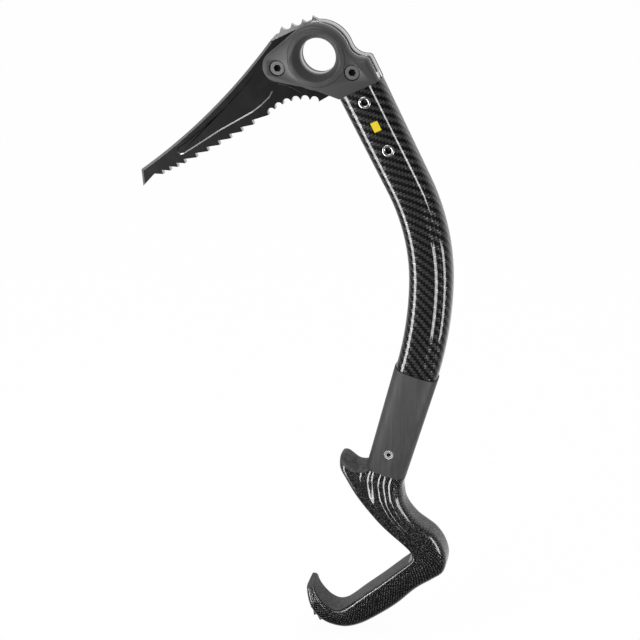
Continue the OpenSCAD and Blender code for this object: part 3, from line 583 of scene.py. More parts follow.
def meshed(name: str, work: bmesh.types.BMesh, angle: float = 0) -> Piece:
    """Turn a mesh that is being worked on into an object, with its normals outwards.

    Args:
        name: Name of the new object.
        work: Mesh that is used up.
        angle: Angle in degrees from which an edge is sharp, or 0 to leave the faces flat.

    Returns:
        The new object.
    """
    bmesh.ops.recalc_face_normals(work, faces=work.faces)
    mesh = bpy.data.meshes.new(name)
    work.to_mesh(mesh)
    work.free()
    piece = link(name, mesh)
    if angle:
        shade(piece, angle)
    return piece


def between(rings: list[Ring], joined: bool = False) -> bmesh.types.BMesh:
    """Build a mesh between closed rings of the same number of points.

    Args:
        rings: Rings of points in metres.
        joined: Whether the last ring is joined to the first, or else each is closed by a face.

    Returns:
        The mesh. The points keep the rings' order.
    """
    n, count = len(rings[0]), len(rings)
    work = bmesh.new()
    verts = [work.verts.new(p) for ring in rings for p in ring]
    for i in range(count if joined else count - 1):
        a, b = i * n, (i + 1) % count * n
        for j in range(n):
            k = (j + 1) % n
            work.faces.new([verts[a + j], verts[a + k], verts[b + k], verts[b + j]])
    if not joined:
        work.faces.new(verts[n - 1 :: -1])
        work.faces.new(verts[-n:])
    work.verts.index_update()
    return work


def turned(
    name: str, centre: Pair, profile: list[Pair], steps: int = 96, joined: bool = False
) -> Piece:
    """Build a body turned about an axis across the tool.

    Args:
        name: Name of the new object.
        centre: Plane point of the axis, in mm.
        profile: Radius and depth pairs in mm, from one end to the other.
        steps: Number of points round it.
        joined: Whether the profile is closed, or else the two ends are.

    Returns:
        The new object.
    """
    end = 360 - 360 / steps
    rings = [[lifted(p, y) for p in arc(centre, r, 0, end, steps - 1)] for r, y in profile]
    return meshed(name, between(rings, joined))


def applied(piece: Piece) -> None:
    """Apply every modifier of a piece to its mesh.

    Args:
        piece: Object that is changed.
    """
    graph = bpy.context.evaluated_depsgraph_get()
    mesh = bpy.data.meshes.new_from_object(piece.evaluated_get(graph))
    piece.modifiers.clear()
    old, piece.data = piece.data, mesh
    bpy.data.meshes.remove(old)


def cut_or_join(piece: Piece, operation: str, *tools: Piece) -> None:
    """Cut tools out of a piece or join them to it, and remove the tools.

    Args:
        piece: Object that is changed.
        operation: DIFFERENCE, UNION or INTERSECT.
        *tools: Objects that are used up.
    """
    for tool in tools:
        step = piece.modifiers.new("step", "BOOLEAN")
        step.operation = operation
        step.solver = "EXACT"
        step.object = tool
    applied(piece)
    for tool in tools:
        bpy.data.objects.remove(tool)


def shade(piece: Piece, angle: float) -> None:
    """Shade a piece smooth, but keep its sharp edges crisp.

    Args:
        piece: Object that is changed.
        angle: Angle in degrees from which an edge is sharp.
    """
    work = bmesh.new()
    work.from_mesh(piece.data)
    for face in work.faces:
        face.smooth = True
    limit = math.radians(angle)
    for edge in work.edges:
        edge.smooth = len(edge.link_faces) != 2 or edge.calc_face_angle(0) < limit
    work.to_mesh(piece.data)
    work.free()


def rounded_edges(piece: Piece, width: float, angle: float = 28) -> None:
    """Break a piece's sharp edges with a small radius, then shade it.

    Args:
        piece: Object that is changed.
        width: Width of the broken edge in mm.
        angle: Angle in degrees from which an edge is broken.
    """
    soft = piece.modifiers.new("edge", "BEVEL")
    soft.width = width * MM
    soft.segments = 2
    soft.limit_method = "ANGLE"
    soft.angle_limit = math.radians(angle)
    soft.use_clamp_overlap = True
    applied(piece)
    shade(piece, 40)


def dress(piece: Piece, material: Material) -> None:
    """Give a piece one material."""
    piece.data.materials.clear()
    piece.data.materials.append(material)


def keep(piece: Piece, material: Material, slot: str, *nodes: str) -> None:
    """Dress a new piece, hang it on the root and hide the CAD nodes that it replaces.

    Args:
        piece: The new piece.
        material: Its finish.
        slot: Not used.
        *nodes: CAD nodes that the piece stands for.
    """
    dress(piece, material)
    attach(piece, ROOT)
    if nodes:
        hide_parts(*nodes)
    log.info("%s: %d faces", piece.name, len(piece.data.polygons))


@dataclass
class CentreLine:
    """The shaft's centre line and the sizes that go with it, in mm and degrees.

    It runs straight down from the shoulder, through two bends, and straight through the sleeve.
    """

    top: Pair = (31, -22)
    upper_lean: float = 27.3
    straight: float = 79
    upper_r: float = 165
    lower_r: float = 287
    lower_lean: float = 14.7
    sleeve: float = 88
    half_w: float = 16.4
    half_t: float = 12
    rim_half_w: float = 14.95
    rim_half_t: float = 11.5

    @property
    def parts(self) -> list[Pair]:
        """The line's four parts from the shoulder down.

        Returns:
            Length and radius of each, where a straight part has radius 0.
        """
        bends = ((self.upper_r, self.upper_lean), (self.lower_r, self.lower_lean))
        arcs = [(r * math.radians(turn), r) for r, turn in bends]
        return [(self.straight, 0), *arcs, (self.sleeve, 0)]

    @property
    def marks(self) -> list[float]:
        """Lengths from the shoulder to the end of each part."""
        return list(accumulate(length for length, _ in self.parts))

    def at(self, s: float) -> tuple[Pair, float]:
        """Return the centre and the lean at a length below the shoulder.

        Args:
            s: Length along the centre line.

        Returns:
            The centre as (x, z) and the lean in degrees.
        """
        centre, lean = self.top, self.upper_lean
        for length, r in self.parts[:-1]:
            run = min(s, length)
            s -= run
            if r:
                centre = moved(centre, (-r, back(lean)))
                lean -= math.degrees(run / r)
                centre = moved(centre, (r, back(lean)))
            else:
                centre = moved(centre, (-run, up(lean)))
        return moved(centre, (-s, up(lean))), lean

    def half_size(self, z: float) -> Pair:
        """Return the tapered end's half width and half thickness at a height above its rim."""
        ends = ((self.rim_half_w, self.half_w), (self.rim_half_t, self.half_t))
        return tuple(low + (high - low) * z / self.sleeve for low, high in ends)

    def beside(self, s: float, u: float, z: float = 0.0) -> Pair:
        """Return the plane point at a length below the shoulder, moved back by u and up by z."""
        centre, lean = self.at(s)
        return moved(centre, (u, back(lean)), (z, up(lean)))

    def rim(self, p: Pair, y: float = 0.0) -> Vector:
        """Return a point of the rim's frame, which the handle is drawn in, in metres."""
        return lifted(self.beside(self.marks[-1], *p), y)


@dataclass
class Oval:
    """The shaft's closed section, a squared oval with a flute along each side. Sizes in mm."""

    half_w: float
    half_t: float
    flute: float = 0.0
    flute_start: float = 4.4
    flute_w: float = 6.2
    flute_soft: float = 0.16
    squareness: float = 3

    def points(self, steps: int, fine: int) -> list[Pair]:
        """Return points at even distances round the section, from the back over +Y.

        Args:
            steps: Number of points.
            fine: Number of points on the exact section for each of them.

        Returns:
            Points as (towards the back, across).
        """
        power, soft = 2 / self.squareness, self.flute_soft
        exact = []
        for i in range(steps * fine):
            cos, sin = back(360 * i / (steps * fine))
            u = math.copysign(abs(cos) ** power, cos) * self.half_w
            v = math.copysign(abs(sin) ** power, sin) * self.half_t
            f = (u - self.flute_start) / self.flute_w
            dip = 0.0
            if 0 < f < 1:
                # The flute's edges are rolled, so its slope starts and ends softly.
                dip = math.hypot(math.sin(math.pi * f), soft) - soft
                dip *= self.flute / (math.hypot(1, soft) - soft)
            exact.append((u, v - math.copysign(min(abs(v), dip), v)))
        exact.append(exact[0])
        length = path_lengths(exact)[-1]
        return spaced(exact, [length * k / steps for k in range(steps)])


@dataclass
class Head:
    """Two alloy cheeks clamped on the pick by two bolts. Sizes in mm."""

    line: CentreLine
    eye_r: float = 13.4
    dish_r: float = 17.3
    dish_depth: float = 7.2
    ring_r: float = 21.2
    ring_rise: float = 0.9
    ring_base: float = 0.35
    ring_bevel: float = 0.6
    face_y: float = 11.7
    rim_y: float = 7.8
    slot_half: float = 2.25
    cheek_r: float = 24.4
    lobe_r: float = 11.6
    lobe_rise: float = 0.7
    back_bevel: float = 2.8
    front_bevel: float = 1.1
    lug_top: float = 1.5
    lug_r: float = 3.2
    saddle_r: float = 11.8
    lobe_end: float = 268
    foot: Pair = (247, 270)
    web: float = 5.5
    web_front: float = 1
    web_back: float = 0.6
    front_bolt: Pair = (-28.5, -9)
    rear_bolt: Pair = (26.6, -9)
    hole_r: float = 3.15
    seat_r: float = 6
    seat_y: float = 6
    overlap: float = 0.5
    edge: float = 0.15

    def outline(self) -> list[tuple[Pair, Pair]]:
        """Draw the outline of a cheek.

        Returns:
            Each point with the move of its full bevel.
        """
        lean, half_w = self.line.upper_lean, self.line.half_w
        inner, outer = self.line.beside(0, -half_w), self.line.beside(0, half_w)
        corner_z = self.lug_top - self.lug_r
        slope = math.radians(lean)
        corner_x = outer[0] + (outer[1] - corner_z) * math.tan(slope) - self.lug_r / math.cos(slope)
        saddle_z = self.lug_top + self.saddle_r
        saddle = (math.sqrt((self.cheek_r + self.saddle_r) ** 2 - saddle_z**2), saddle_z)
        saddle_a = math.degrees(math.atan2(saddle[1], saddle[0]))
        lobe = moved(self.front_bolt, (self.lobe_rise, (0, 1)))
        away = math.degrees(math.acos((self.cheek_r - self.lobe_r) / math.hypot(*lobe)))
        tangent = 180 + math.degrees(math.atan2(-lobe[1], -lobe[0])) - away
        behind = [outer, *arc((corner_x, corner_z), self.lug_r, lean, 90, 12)]
        behind += arc(saddle, self.saddle_r, 270, 180 + saddle_a, 20)[1:]
        behind += arc((0, 0), self.cheek_r, saddle_a, tangent, 40)[1:]
        before = arc(lobe, self.lobe_r, tangent, self.lobe_end, 30)
        before += [*arc((0, 0), self.cheek_r, *self.foot, 8), inner]
        loop = [(p, self.back_bevel) for p in behind] + [(p, self.front_bevel) for p in before]
        found = []
        for i, (p, width) in enumerate(loop):
            a, b = Vector(loop[i - 1][0]), Vector(loop[(i + 1) % len(loop)][0])
            t1, t2 = (Vector(p) - a).normalized(), (b - Vector(p)).normalized()
            n1, n2 = Vector((-t1.y, t1.x)), Vector((-t2.y, t2.x))
            found.append((p, tuple(width * (n1 + n2) / (1 + n1.dot(n2)))))
        # At the shoulder the bevel runs out along the shaft's top.
        found[0] = (outer, tuple(-self.back_bevel * k for k in back(lean)))
        found[-1] = (inner, tuple(self.front_bevel * k for k in back(lean)))
        return found

    def cheek(self, side: Side) -> Piece:
        """Build one cheek with its ring, dish, bolt seats and the web at the shoulder.

        Args:
            side: Side of the tool that the cheek is on.

        Returns:
            The new object.
        """
        sign, rows = side.value, self.outline()
        # The bevel is rounded: each share of its width has its share of its height.
        bevel = ((0, 0), (0.06, 0.25), (0.2, 0.52), (0.4, 0.74), (0.62, 0.89), (0.82, 0.97), (1, 1))
        rings = [[lifted(p, sign * self.slot_half) for p, _ in rows]]
        for share, rise in bevel:
            y = sign * (self.rim_y + rise * (self.face_y - self.rim_y))
            rings.append([lifted(moved(p, (share, move)), y) for p, move in rows])
        body = meshed(f"cheek_{side.name.lower()}", between(rings))
        inside, top = self.slot_half + self.overlap, self.face_y + self.ring_rise
        ring = [(self.ring_r - 0.02, inside), (self.ring_r, self.face_y + self.ring_base)]
        ring.append((self.ring_r - self.ring_bevel, top))
        dish = [(self.eye_r, 0), (self.eye_r, top - self.dish_depth), (self.dish_r, top)]
        dish.append((self.dish_r + self.overlap, top + 1))
        seat = [(self.seat_r, self.seat_y), (self.seat_r, self.face_y + 2)]
        hole = [(self.hole_r, 0), (self.hole_r, self.face_y + 1)]
        shapes = [((0, 0), ring, 96), ((0, 0), dish, 96)]
        for shape, steps in ((seat, 48), (hole, 32)):
            shapes += [(bolt, shape, steps) for bolt in (self.front_bolt, self.rear_bolt)]
        profiles = [(p, [(r, sign * y) for r, y in shape], steps) for p, shape, steps in shapes]
        collar, *bores = [turned("bore", *profile) for profile in profiles]
        front, rear = self.web_front - self.line.half_w, self.line.half_w - self.web_back
        web = [(front, 0), (rear, 0), (rear, self.web), (front, self.web)]
        web = [[lifted(self.line.beside(0, *p), sign * y) for p in web] for y in (0, inside)]
        cut_or_join(body, "UNION", collar, meshed("web", between(web)))
        cut_or_join(body, "DIFFERENCE", *bores)
        rounded_edges(body, self.edge)
        return body

    def build(self, nodes: dict[str, Piece]) -> None:
        """Build both cheeks, and dress the bolts and nuts.

        Args:
            nodes: The CAD pieces by name.
        """
        alloy = AnodisedAluminium().build()
        for side in Side:
            keep(self.cheek(side), alloy, "head_alloy", f"head_cheek_{side.name.lower()}")
        # Painted shade darkens the bolts' hex sockets.
        socket = {"shade_within_mm": 9.5, "recess_shade": "#343436"}
        zinc = TurnedMetal("zinc_plated_steel", "#c4c4c5", "#98989a", metallic=0.85, **socket)
        phosphate = TurnedMetal("phosphated_steel", "#8e8e8f", "#6a6a6b", metallic=0.85)
        for kind, finish in (("bolt", zinc.build()), ("nut", phosphate.build())):
            for place in ("front", "rear"):
                dress(nodes[f"{place}_{kind}"], finish)


@dataclass
class Pick:
    """The toothed plate between the cheeks."""

    def build(self, nodes: dict[str, Piece]) -> None:
        """Dress the plate."""
        dress(nodes["pick"], BlackCoatedSteel().build())


@dataclass
class Shaft:
    """The curved, fluted carbon tube with its rivets and the printed mark. Sizes in mm."""

    line: CentreLine
    top_half_w: float = 17.4
    wall: float = 2.5
    flute: float = 1.3
    flute_ease: float = 0.13
    ease_run: float = 60
    fade: float = 14
    rivets: tuple[Pair, Pair] = ((9.5, 0.8), (48.5, 0.8))
    rivet_hole_r: float = 3.4
    step: float = 1.2
    steps: int = 150
    cloth_w: float = 88
    mark_s: Pair = (25.2, 32.6)
    mark_u: Pair = (-2.4, 3.2)
    mark_rise: float = 0.06
    mark_root: float = 0.05

    def section(self, s: float, inset: float = 0.0) -> Oval:
        """Return the tube's section at a length below the shoulder.

        Args:
            s: Length along the centre line.
            inset: Depth below the tube's outside.

        Returns:
            The section, which has flutes on the outside only.
        """
        straight, _, second, last = self.line.marks
        half_w, half_t = self.line.half_size(min(last - s, self.line.sleeve))
        flute = 0.0 if s >= second else self.flute
        if s < straight:
            half_w += (self.top_half_w - half_w) * (1 - s / straight)
        elif s < second:
            # The flute is a little shallower in the bends than along the straight.
            flute *= 1 - self.flute_ease * min(1, (s - straight) / self.ease_run)
            run_out = min(1, (second - s) / self.fade)
            flute *= run_out * run_out * (3 - 2 * run_out)
        return Oval(half_w - inset, half_t - inset, 0.0 if inset else flute)

    def tube(self) -> Piece:
        """Build the tube, with the cloth's coordinates on its faces.

        Returns:
            The new object.
        """
        last, half_w, half_t = self.line.marks[-1], self.line.half_w, self.line.half_t
        places = even(0, last, round(last / self.step))
        rings, spots = [], []
        for inset, run in ((0.0, places), (self.wall, places[::-1])):
            for s in run:
                section = self.section(s, inset).points(self.steps, 2 if inset else 6)
                rings.append([lifted(self.line.beside(s, u), v) for u, v in section])
                spots += [(s, math.atan2(v / half_t, -u / half_w) % math.tau) for u, v in section]
        work = between(rings, joined=True)
        layer = work.loops.layers.float_vector.new("cloth")
        for face in work.faces:
            found = [spots[loop.vert.index] for loop in face.loops]
            split = max(a for _, a in found) - min(a for _, a in found) > math.pi
            for loop, (s, a) in zip(face.loops, found):
                a += math.tau if split and a < math.pi else 0
                loop[layer] = Vector((s, a / math.tau * self.cloth_w, 0)) * MM
        under_rivets = set()
        for rivet in self.rivets:
            hole = lifted(self.line.beside(*rivet), 0)
            for face in work.faces:
                away = face.calc_center_median() - hole
                if math.hypot(away.x, away.z) < self.rivet_hole_r * MM:
                    under_rivets.add(face)
        bmesh.ops.delete(work, geom=list(under_rivets), context="FACES")
        return meshed("carbon_shaft", work, 30)

    def mark(self) -> Piece:
        """Build the plain yellow mark, a thin print on the shaft's left side.

        Returns:
            The new object.
        """
        rings = []
        for s in even(*self.mark_s, 12):
            section = self.section(s)
            power, row = section.squareness, []
            for u in even(*self.mark_u, 8):
                v = section.half_t * (1 - (abs(u) / section.half_w) ** power) ** (1 / power)
                row.append((self.line.beside(s, u), v))
            over = [lifted(p, -v - self.mark_rise) for p, v in row]
            rings.append(over + [lifted(p, -v + self.mark_root) for p, v in reversed(row)])
        return meshed("printed_mark", between(rings), 30)

    def build(self) -> None:
        """Build the tube, the mark and the hollow rivets with their rolled rims."""
        cloth = WovenCarbon(Weave.COARSE_TWILL, dull=0.45)
        keep(self.tube(), cloth.build(), "shaft_carbon", "shaft")
        keep(self.mark(), YellowEnamel().build(), "shaft_carbon")
        # Painted shade darkens the rivets' bores.
        bright = TurnedMetal("rolled_aluminium", "#dcdcdd", "#a2a2a3", 0.3, shade_within_mm=11.8).build()
        rim = [(3, 11.6), (3, 12), (4.4, 12), (4.58, 12.15), (4.5, 12.42), (4.22, 12.64)]
        rim += [(3.8, 12.77), (3.4, 12.78), (3, 12.7), (2.66, 12.5), (2.42, 12.2), (2.3, 11.8)]
        rim += [(r, -y) for r, y in reversed(rim)]
        for name, rivet in zip(("upper_rivet", "lower_rivet"), self.rivets):
            piece = turned(f"rolled_{name}", self.line.beside(*rivet), rim, 48, joined=True)
            shade(piece, 50)
            keep(piece, bright, "rivet_alloy", name)


@dataclass
class Sleeve:
    """The matte sleeve on the shaft's lower end, with the screw through it. Sizes in mm."""

    line: CentreLine
    gap: float = 0.04
    wall: float = 0.8
    screw: Pair = (-1, 18.7)
    screw_r: float = 3.95
    edge: float = 0.2
    steps: int = 120

    def ring(self, z: float, grow: float) -> Ring:
        """Return the ring at a height above the rim, larger than the shaft by a margin."""
        section = Oval(*(size + grow for size in self.line.half_size(z)))
        return [self.line.rim((u, z), v) for u, v in section.points(self.steps, 4)]

    def wrap(self, name: str, grow: float, *heights: float) -> Piece:
        """Build a body round the shaft between heights above the rim, larger by a margin."""
        return meshed(name, between([self.ring(z, grow) for z in heights]))

    def build(self, nodes: dict[str, Piece]) -> None:
        """Build the sleeve, and dress what is in it.

        Args:
            nodes: The CAD pieces by name.
        """
        length = self.line.sleeve
        piece = self.wrap("sleeve", self.gap + self.wall, 0, length / 2, length)
        hollow = self.wrap("hollow", self.gap, -1, length / 2, length + 1)
        centre = self.line.rim(self.screw) / MM
        seat = turned("seat", (centre.x, centre.z), [(self.screw_r, -20), (self.screw_r, 20)], 64)
        cut_or_join(piece, "DIFFERENCE", hollow, seat)
        rounded_edges(piece, self.edge)
        flow = {"streaks": 0.8, "lean": self.line.lower_lean}
        plastic = MouldedPlastic("sleeve_polyamide", "#3e3e3f", "#555556", 0.55, 0.5, **flow)
        keep(piece, plastic.build(), "sleeve_plastic", "grip_sleeve")
        alloy = TurnedMetal("machined_aluminium", "#9a9c9f", "#808285", 0.35)
        dress(nodes["handle_spigot"], alloy.build())
        # Painted shade darkens the screw's socket.
        steel = TurnedMetal("stainless_steel", "#a2a2a3", "#6c6c6d", 0.27, 0.85, shade_within_mm=12)
        screw = steel.build()
        for name in ("handle_screw", "handle_nut"):
            dress(nodes[name], screw)


@dataclass
class HalfRing:
    """Half a ring of the handle's skin over +Y, in the rim's frame and in mm.

    Points are (x, z, y), round holds each point's distance round from the front's middle, and
    middle is the ring's centre.
    """

    points: list[tuple[float, float, float]]
    round: list[float]
    middle: Pair


@dataclass
class Handle:
    """The moulded carbon handle in two halves, its horn, the hook's pad and the toothed plate.

    Stations are (front x, front z share, back x, back z share, half thickness, front corner radius,
    back corner radius) in the rim's frame, in mm. Each z is a share of the handle's drop. Ends of
    the ridges and the pads are counted in stations.
    """

    line: CentreLine
    sleeve: Sleeve
    drop: float = 146
    pad_from: float = 11
    wrap_from: float = 22.5
    pad_lip: float = 0.6
    horn_reach: float = 37.2
    horn_h: float = 3.9
    horn_lap: float = 0.8
    root_x: tuple[float, ...] = (-38.2, -32.6, -30, -24.6, -15.5, -12.6)
    root_z: tuple[float, ...] = (-1.7, -3.2, -4.7, -6.4, -3.6, -0.9)
    front_bow: float = 0.2
    crown: float = 0.45
    ridge: float = 0.26
    ridge_pitch: float = 9
    ridges_to: float = 11
    ridges_reach: float = 44
    front_cols: int = 14
    back_cols: int = 46
    per_station: int = 12
    cloth_start: float = 200
    inset: float = 0.05
    fit: float = 0.04
    edge: float = 0.3

    @property
    def stations(self) -> list[tuple[float, ...]]:
        """The handle's stations, from the rim down to the grip and along it to the hook's tip.

        Returns:
            For each station x and z of the front's middle, x and z of the back's middle, the half
            thickness, and the radii of the front and back corners. Each z is a share of the drop.
        """
        return [
            (-37.2, 0, 15.79, 0, 12.4, 7, 9),
            (-35, -0.055, 16, -0.051, 12.6, 7, 9),
            (-27.2, -0.114, 18.5, -0.099, 12.8, 7, 9),
            (-18.1, -0.173, 21.3, -0.137, 13, 6.5, 8.5),
            (-6.9, -0.232, 26.5, -0.175, 13, 6, 8),
            (6.1, -0.292, 34.5, -0.212, 13, 5.5, 7.5),
            (17.4, -0.332, 42.5, -0.233, 13, 5, 7),
            (28.2, -0.364, 50.5, -0.253, 13, 4.5, 7),
            (36, -0.39, 58.5, -0.295, 13, 4, 7),
            (39.3, -0.413, 64.2, -0.349, 13, 3.4, 7),
            (40, -0.438, 66.7, -0.401, 13, 3.4, 7),
            (38.4, -0.463, 66.5, -0.459, 13, 3.4, 7),
            (35.8, -0.492, 61, -0.514, 13, 3.4, 7),
            (32, -0.533, 50.5, -0.606, 13, 3.4, 6.5),
            (22, -0.645, 40.3, -0.733, 13, 3.4, 6.5),
            (11.1, -0.759, 29, -0.842, 13, 3.4, 6.5),
            (3.8, -0.84, 18.2, -0.929, 13, 3.4, 6.5),
            (-0.8, -0.879, 7, -0.984, 13, 3.4, 6.5),
            (-6.3, -0.898, -5.4, -1, 12.8, 3.4, 6),
            (-12.8, -0.892, -15.5, -0.987, 12.5, 3.4, 5.5),
            (-18.2, -0.872, -23.5, -0.95, 12, 3.2, 5),
            (-22.8, -0.847, -28.3, -0.906, 11.4, 3, 4.5),
            (-26, -0.822, -31.8, -0.854, 10.6, 2.6, 4),
            (-27.5, -0.8, -32.9, -0.824, 9, 2.2, 2.6),
            (-28.5, -0.784, -32.5, -0.789, 6.4, 1.4, 1.4),
        ]

    def half_section(self, hw: float, ht: float, rf: float, rb: float) -> list[Pair]:
        """Return half of the section, from the front's middle over +Y to the back's middle.

        Args:
            hw: Half width from front to back.
            ht: Half thickness.
            rf: Radius of the front corner.
            rb: Radius of the back corner.

        Returns:
            Points as (towards the back, across), the first ones over the flat front.
        """
        flat = ht - rf
        front = [(-hw + self.front_bow * (k / 5) ** 2, flat * k / 5) for k in range(5)]
        corner = arc((rf - hw + self.front_bow, flat), rf, 180, 90, 16)
        rear = arc((hw - rb, ht - rb), rb, 90, 0, 20)
        start, end = corner[-1][0], rear[0][0]
        # The side falls away a little from its middle, as a moulding does.
        side = [(k / 6 - 1, start + (end - start) * k / 12, ht) for k in range(1, 12)]
        corner = [(k / 16, u, v) for k, (u, v) in enumerate(corner)]
        rear = [(1 - k / 20, u, v) for k, (u, v) in enumerate(rear)]
        crowned = [(u, v - self.crown * f * f) for f, u, v in (*corner, *side, *rear)]
        return [*front, *crowned, (hw, 0)]

    def ring(self, t: float, shrink: float = 0.0) -> HalfRing:
        """Return half a ring of the skin at a place along the handle.

        Args:
            t: Place, where each whole number is a station.
            shrink: Length in mm by which the ring is drawn in.

        Returns:
            The half ring over +Y.
        """
        fx, fz, bx, bz, ht, rf, rb = smooth(self.stations, t)
        f, b = (fx, self.drop * fz), (bx, self.drop * bz)
        middle = ((f[0] + b[0]) / 2, (f[1] + b[1]) / 2)
        hw = math.dist(f, b) / 2
        across = ((b[0] - f[0]) / (2 * hw), (b[1] - f[1]) / (2 * hw))
        half = self.half_section(hw - shrink, ht - shrink, rf, rb)
        # The pad's edge lies on one column of points, so it stays a clean line.
        border = ht - rf + self.pad_lip
        length = path_lengths(half)[-1]
        wants = even(0, border, self.front_cols)[:-1] + even(border, length, self.back_cols)
        points = []
        for want, (u, v) in zip(wants, spaced(half, wants)):
            # Soft ridges of the laid-up cloth run down beside the back and fade out at the elbow.
            away = length - want
            depth = self.ridge * max(0.0, 1 - t / self.ridges_to) ** 0.5
            depth *= min(1.0, max(0.0, (self.ridges_reach - away) / self.ridge_pitch))
            v *= 1 - depth * (1 - math.cos(math.tau * away / self.ridge_pitch)) / ht
            points.append((*moved(middle, (u, across)), v))
        return HalfRing(points, wants, middle)

    def root_at(self, x: float) -> float:
        """Return the height of the horn pad's lower edge, which is also the skin's upper edge.

        Args:
            x: Distance from the rim's centre towards the back.

        Returns:
            The height, which is 0 behind the pad.
        """
        xs, zs = self.root_x, self.root_z
        if x > xs[-1]:
            return 0.0
        i = max(k for k in range(len(xs) - 1) if xs[k] <= max(x, xs[0]))
        return zs[i] + (zs[i + 1] - zs[i]) * (x - xs[i]) / (xs[i + 1] - xs[i])

    def under_pad(self, rings: list[HalfRing]) -> None:
        """Draw the skin's upper edge down to the horn pad's lower edge.

        Args:
            rings: Half rings from the rim down. The first ones are changed.
        """
        m = 2 * self.per_station
        for j in range(len(rings[0].points)):
            path = [rings[i].points[j] for i in range(m + 1)]
            over = [z - self.root_at(x) for x, z, _ in path]
            first = next(i for i, h in enumerate(over) if h <= 0)
            if first == 0:
                continue
            start = first - 1 + over[first - 1] / (over[first - 1] - over[first])
            for i in range(m + 1):
                want = min(start + (m - start) * i / m, m - 1e-6)
                k, f = int(want), want - int(want)
                rings[i].points[j] = tuple(a + (b - a) * f for a, b in zip(path[k], path[k + 1]))

    def is_pad(self, t: float, column: int) -> bool:
        """Whether a face of the skin belongs to the hook's pad."""
        return t > self.wrap_from or (t > self.pad_from and column < self.front_cols)

    def surface(self, name: str, sides: tuple[Side, ...], wanted: bool) -> Piece:
        """Build a part of the handle's surface.

        Args:
            name: Name of the new object.
            sides: Sides of the tool that the part covers.
            wanted: Whether the part is the hook's pad, or else the carbon skin.

        Returns:
            The new object, with the cloth's coordinates on its faces.
        """
        last = len(self.stations) - 1
        count = last * self.per_station
        rings = [self.ring(t) for t in even(0, last, count)]
        run = path_lengths([ring.middle for ring in rings])
        self.under_pad(rings)
        n = len(rings[0].points)
        work = bmesh.new()
        layer = work.loops.layers.float_vector.new("cloth")
        verts: dict[tuple[int, int, int], bmesh.types.BMVert] = {}

        def vert(i: int, j: int, sign: int) -> bmesh.types.BMVert:
            """Return a vertex, which is made once.

            Args:
                i: Number of its ring.
                j: Number of its column.
                sign: Side that it is on.

            Returns:
                The vertex.
            """
            key = (i, j, 0 if j in (0, n - 1) else sign)
            if key not in verts:
                x, z, v = rings[i].points[j]
                verts[key] = work.verts.new(self.line.rim((x, z), sign * v))
            return verts[key]

        for i in range(count):
            for j in range(n - 1):
                if self.is_pad((i + 0.5) / self.per_station, j) != wanted:
                    continue
                for side in sides:
                    corners = [(i, j), (i, j + 1), (i + 1, j + 1), (i + 1, j)]
                    face = work.faces.new([vert(a, b, side.value) for a, b in corners])
                    for loop, (a, b) in zip(face.loops, corners):
                        across = side.value * rings[a].round[b] + self.cloth_start
                        loop[layer] = Vector((run[a], across, 0)) * MM
        if wanted:
            over = [vert(count, j, 1) for j in range(n)]
            work.faces.new(over + [vert(count, j, -1) for j in range(n - 2, 0, -1)])
        return meshed(name, work, 30)

    def closed_ring(self, half: HalfRing, shift: Pair = (0.0, 0.0)) -> Ring:
        """Return a half ring and its mirror image as one closed ring, moved in the rim's frame."""
        points = [*half.points, *((x, z, -v) for x, z, v in half.points[-2:0:-1])]
        return [self.line.rim((x + shift[0], z + shift[1]), v) for x, z, v in points]

    def horn(self) -> Piece:
        """Build the horn's pad. It goes on upwards from the skin and wraps the sleeve's front.

        Returns:
            The new object.
        """
        reach, height = self.horn_reach, self.horn_h
        # Upper edge of the pad at its middle, and how far it falls towards the pad's sides.
        crest = [
            (-8, 1.2, -0.8),
            (-12.6, 0.9, -1.2),
            (-16.4, 0.4, -2.6),
            (-20.3, 0, -4),
            (-24.3, 0.6, -5),
            (-29.2, height - 1.2, -5.4),
            (-33.2, height, -5.4),
            (1.1 - reach, height - 0.9, -5.2),
            (-0.1 - reach, height - 3, -3.4),
            (-1.2 - reach, height - 7, -1.2),
        ]
        # Shares of the half thickness, and of that fall.
        shares = [(-1.06, 1.1), (-1, 1), (-0.92, 0.84), (-0.8, 0.66), (-0.58, 0.37), (-0.3, 0.1)]
        shares += [(-a, b) for a, b in reversed(shares)]
        across, along = [
            [smooth(rows, t) for t in even(0, last, 6 * last)]
            for rows, last in ((shares, len(shares) - 1), (crest, len(crest) - 1))
        ]
        rings, half_t = [], self.stations[0][4]
        for share, move in across:
            upper = [(x, z + fall * move) for x, z, fall in along]
            lower = [(x, self.root_at(x) - self.horn_lap) for x, _, _ in reversed(along)]
            rings.append([self.line.rim(p, share * half_t) for p in (*upper, *lower)])
        piece = meshed("horn", between(rings))
        walls = [self.closed_ring(self.ring(t, self.inset)) for t in (1.2, 0.8, 0.4, 0)]
        top = self.ring(0, self.inset)
        walls += [self.closed_ring(top, shift) for shift in ((-0.15, 3), (0, 9))]
        around = self.sleeve.gap + self.sleeve.wall + self.fit
        cut_or_join(piece, "INTERSECT", meshed("prism", between(walls)))
        cut_or_join(piece, "DIFFERENCE", self.sleeve.wrap("hollow", around, 0.01, 8, 16))
        rounded_edges(piece, self.edge)
        return piece

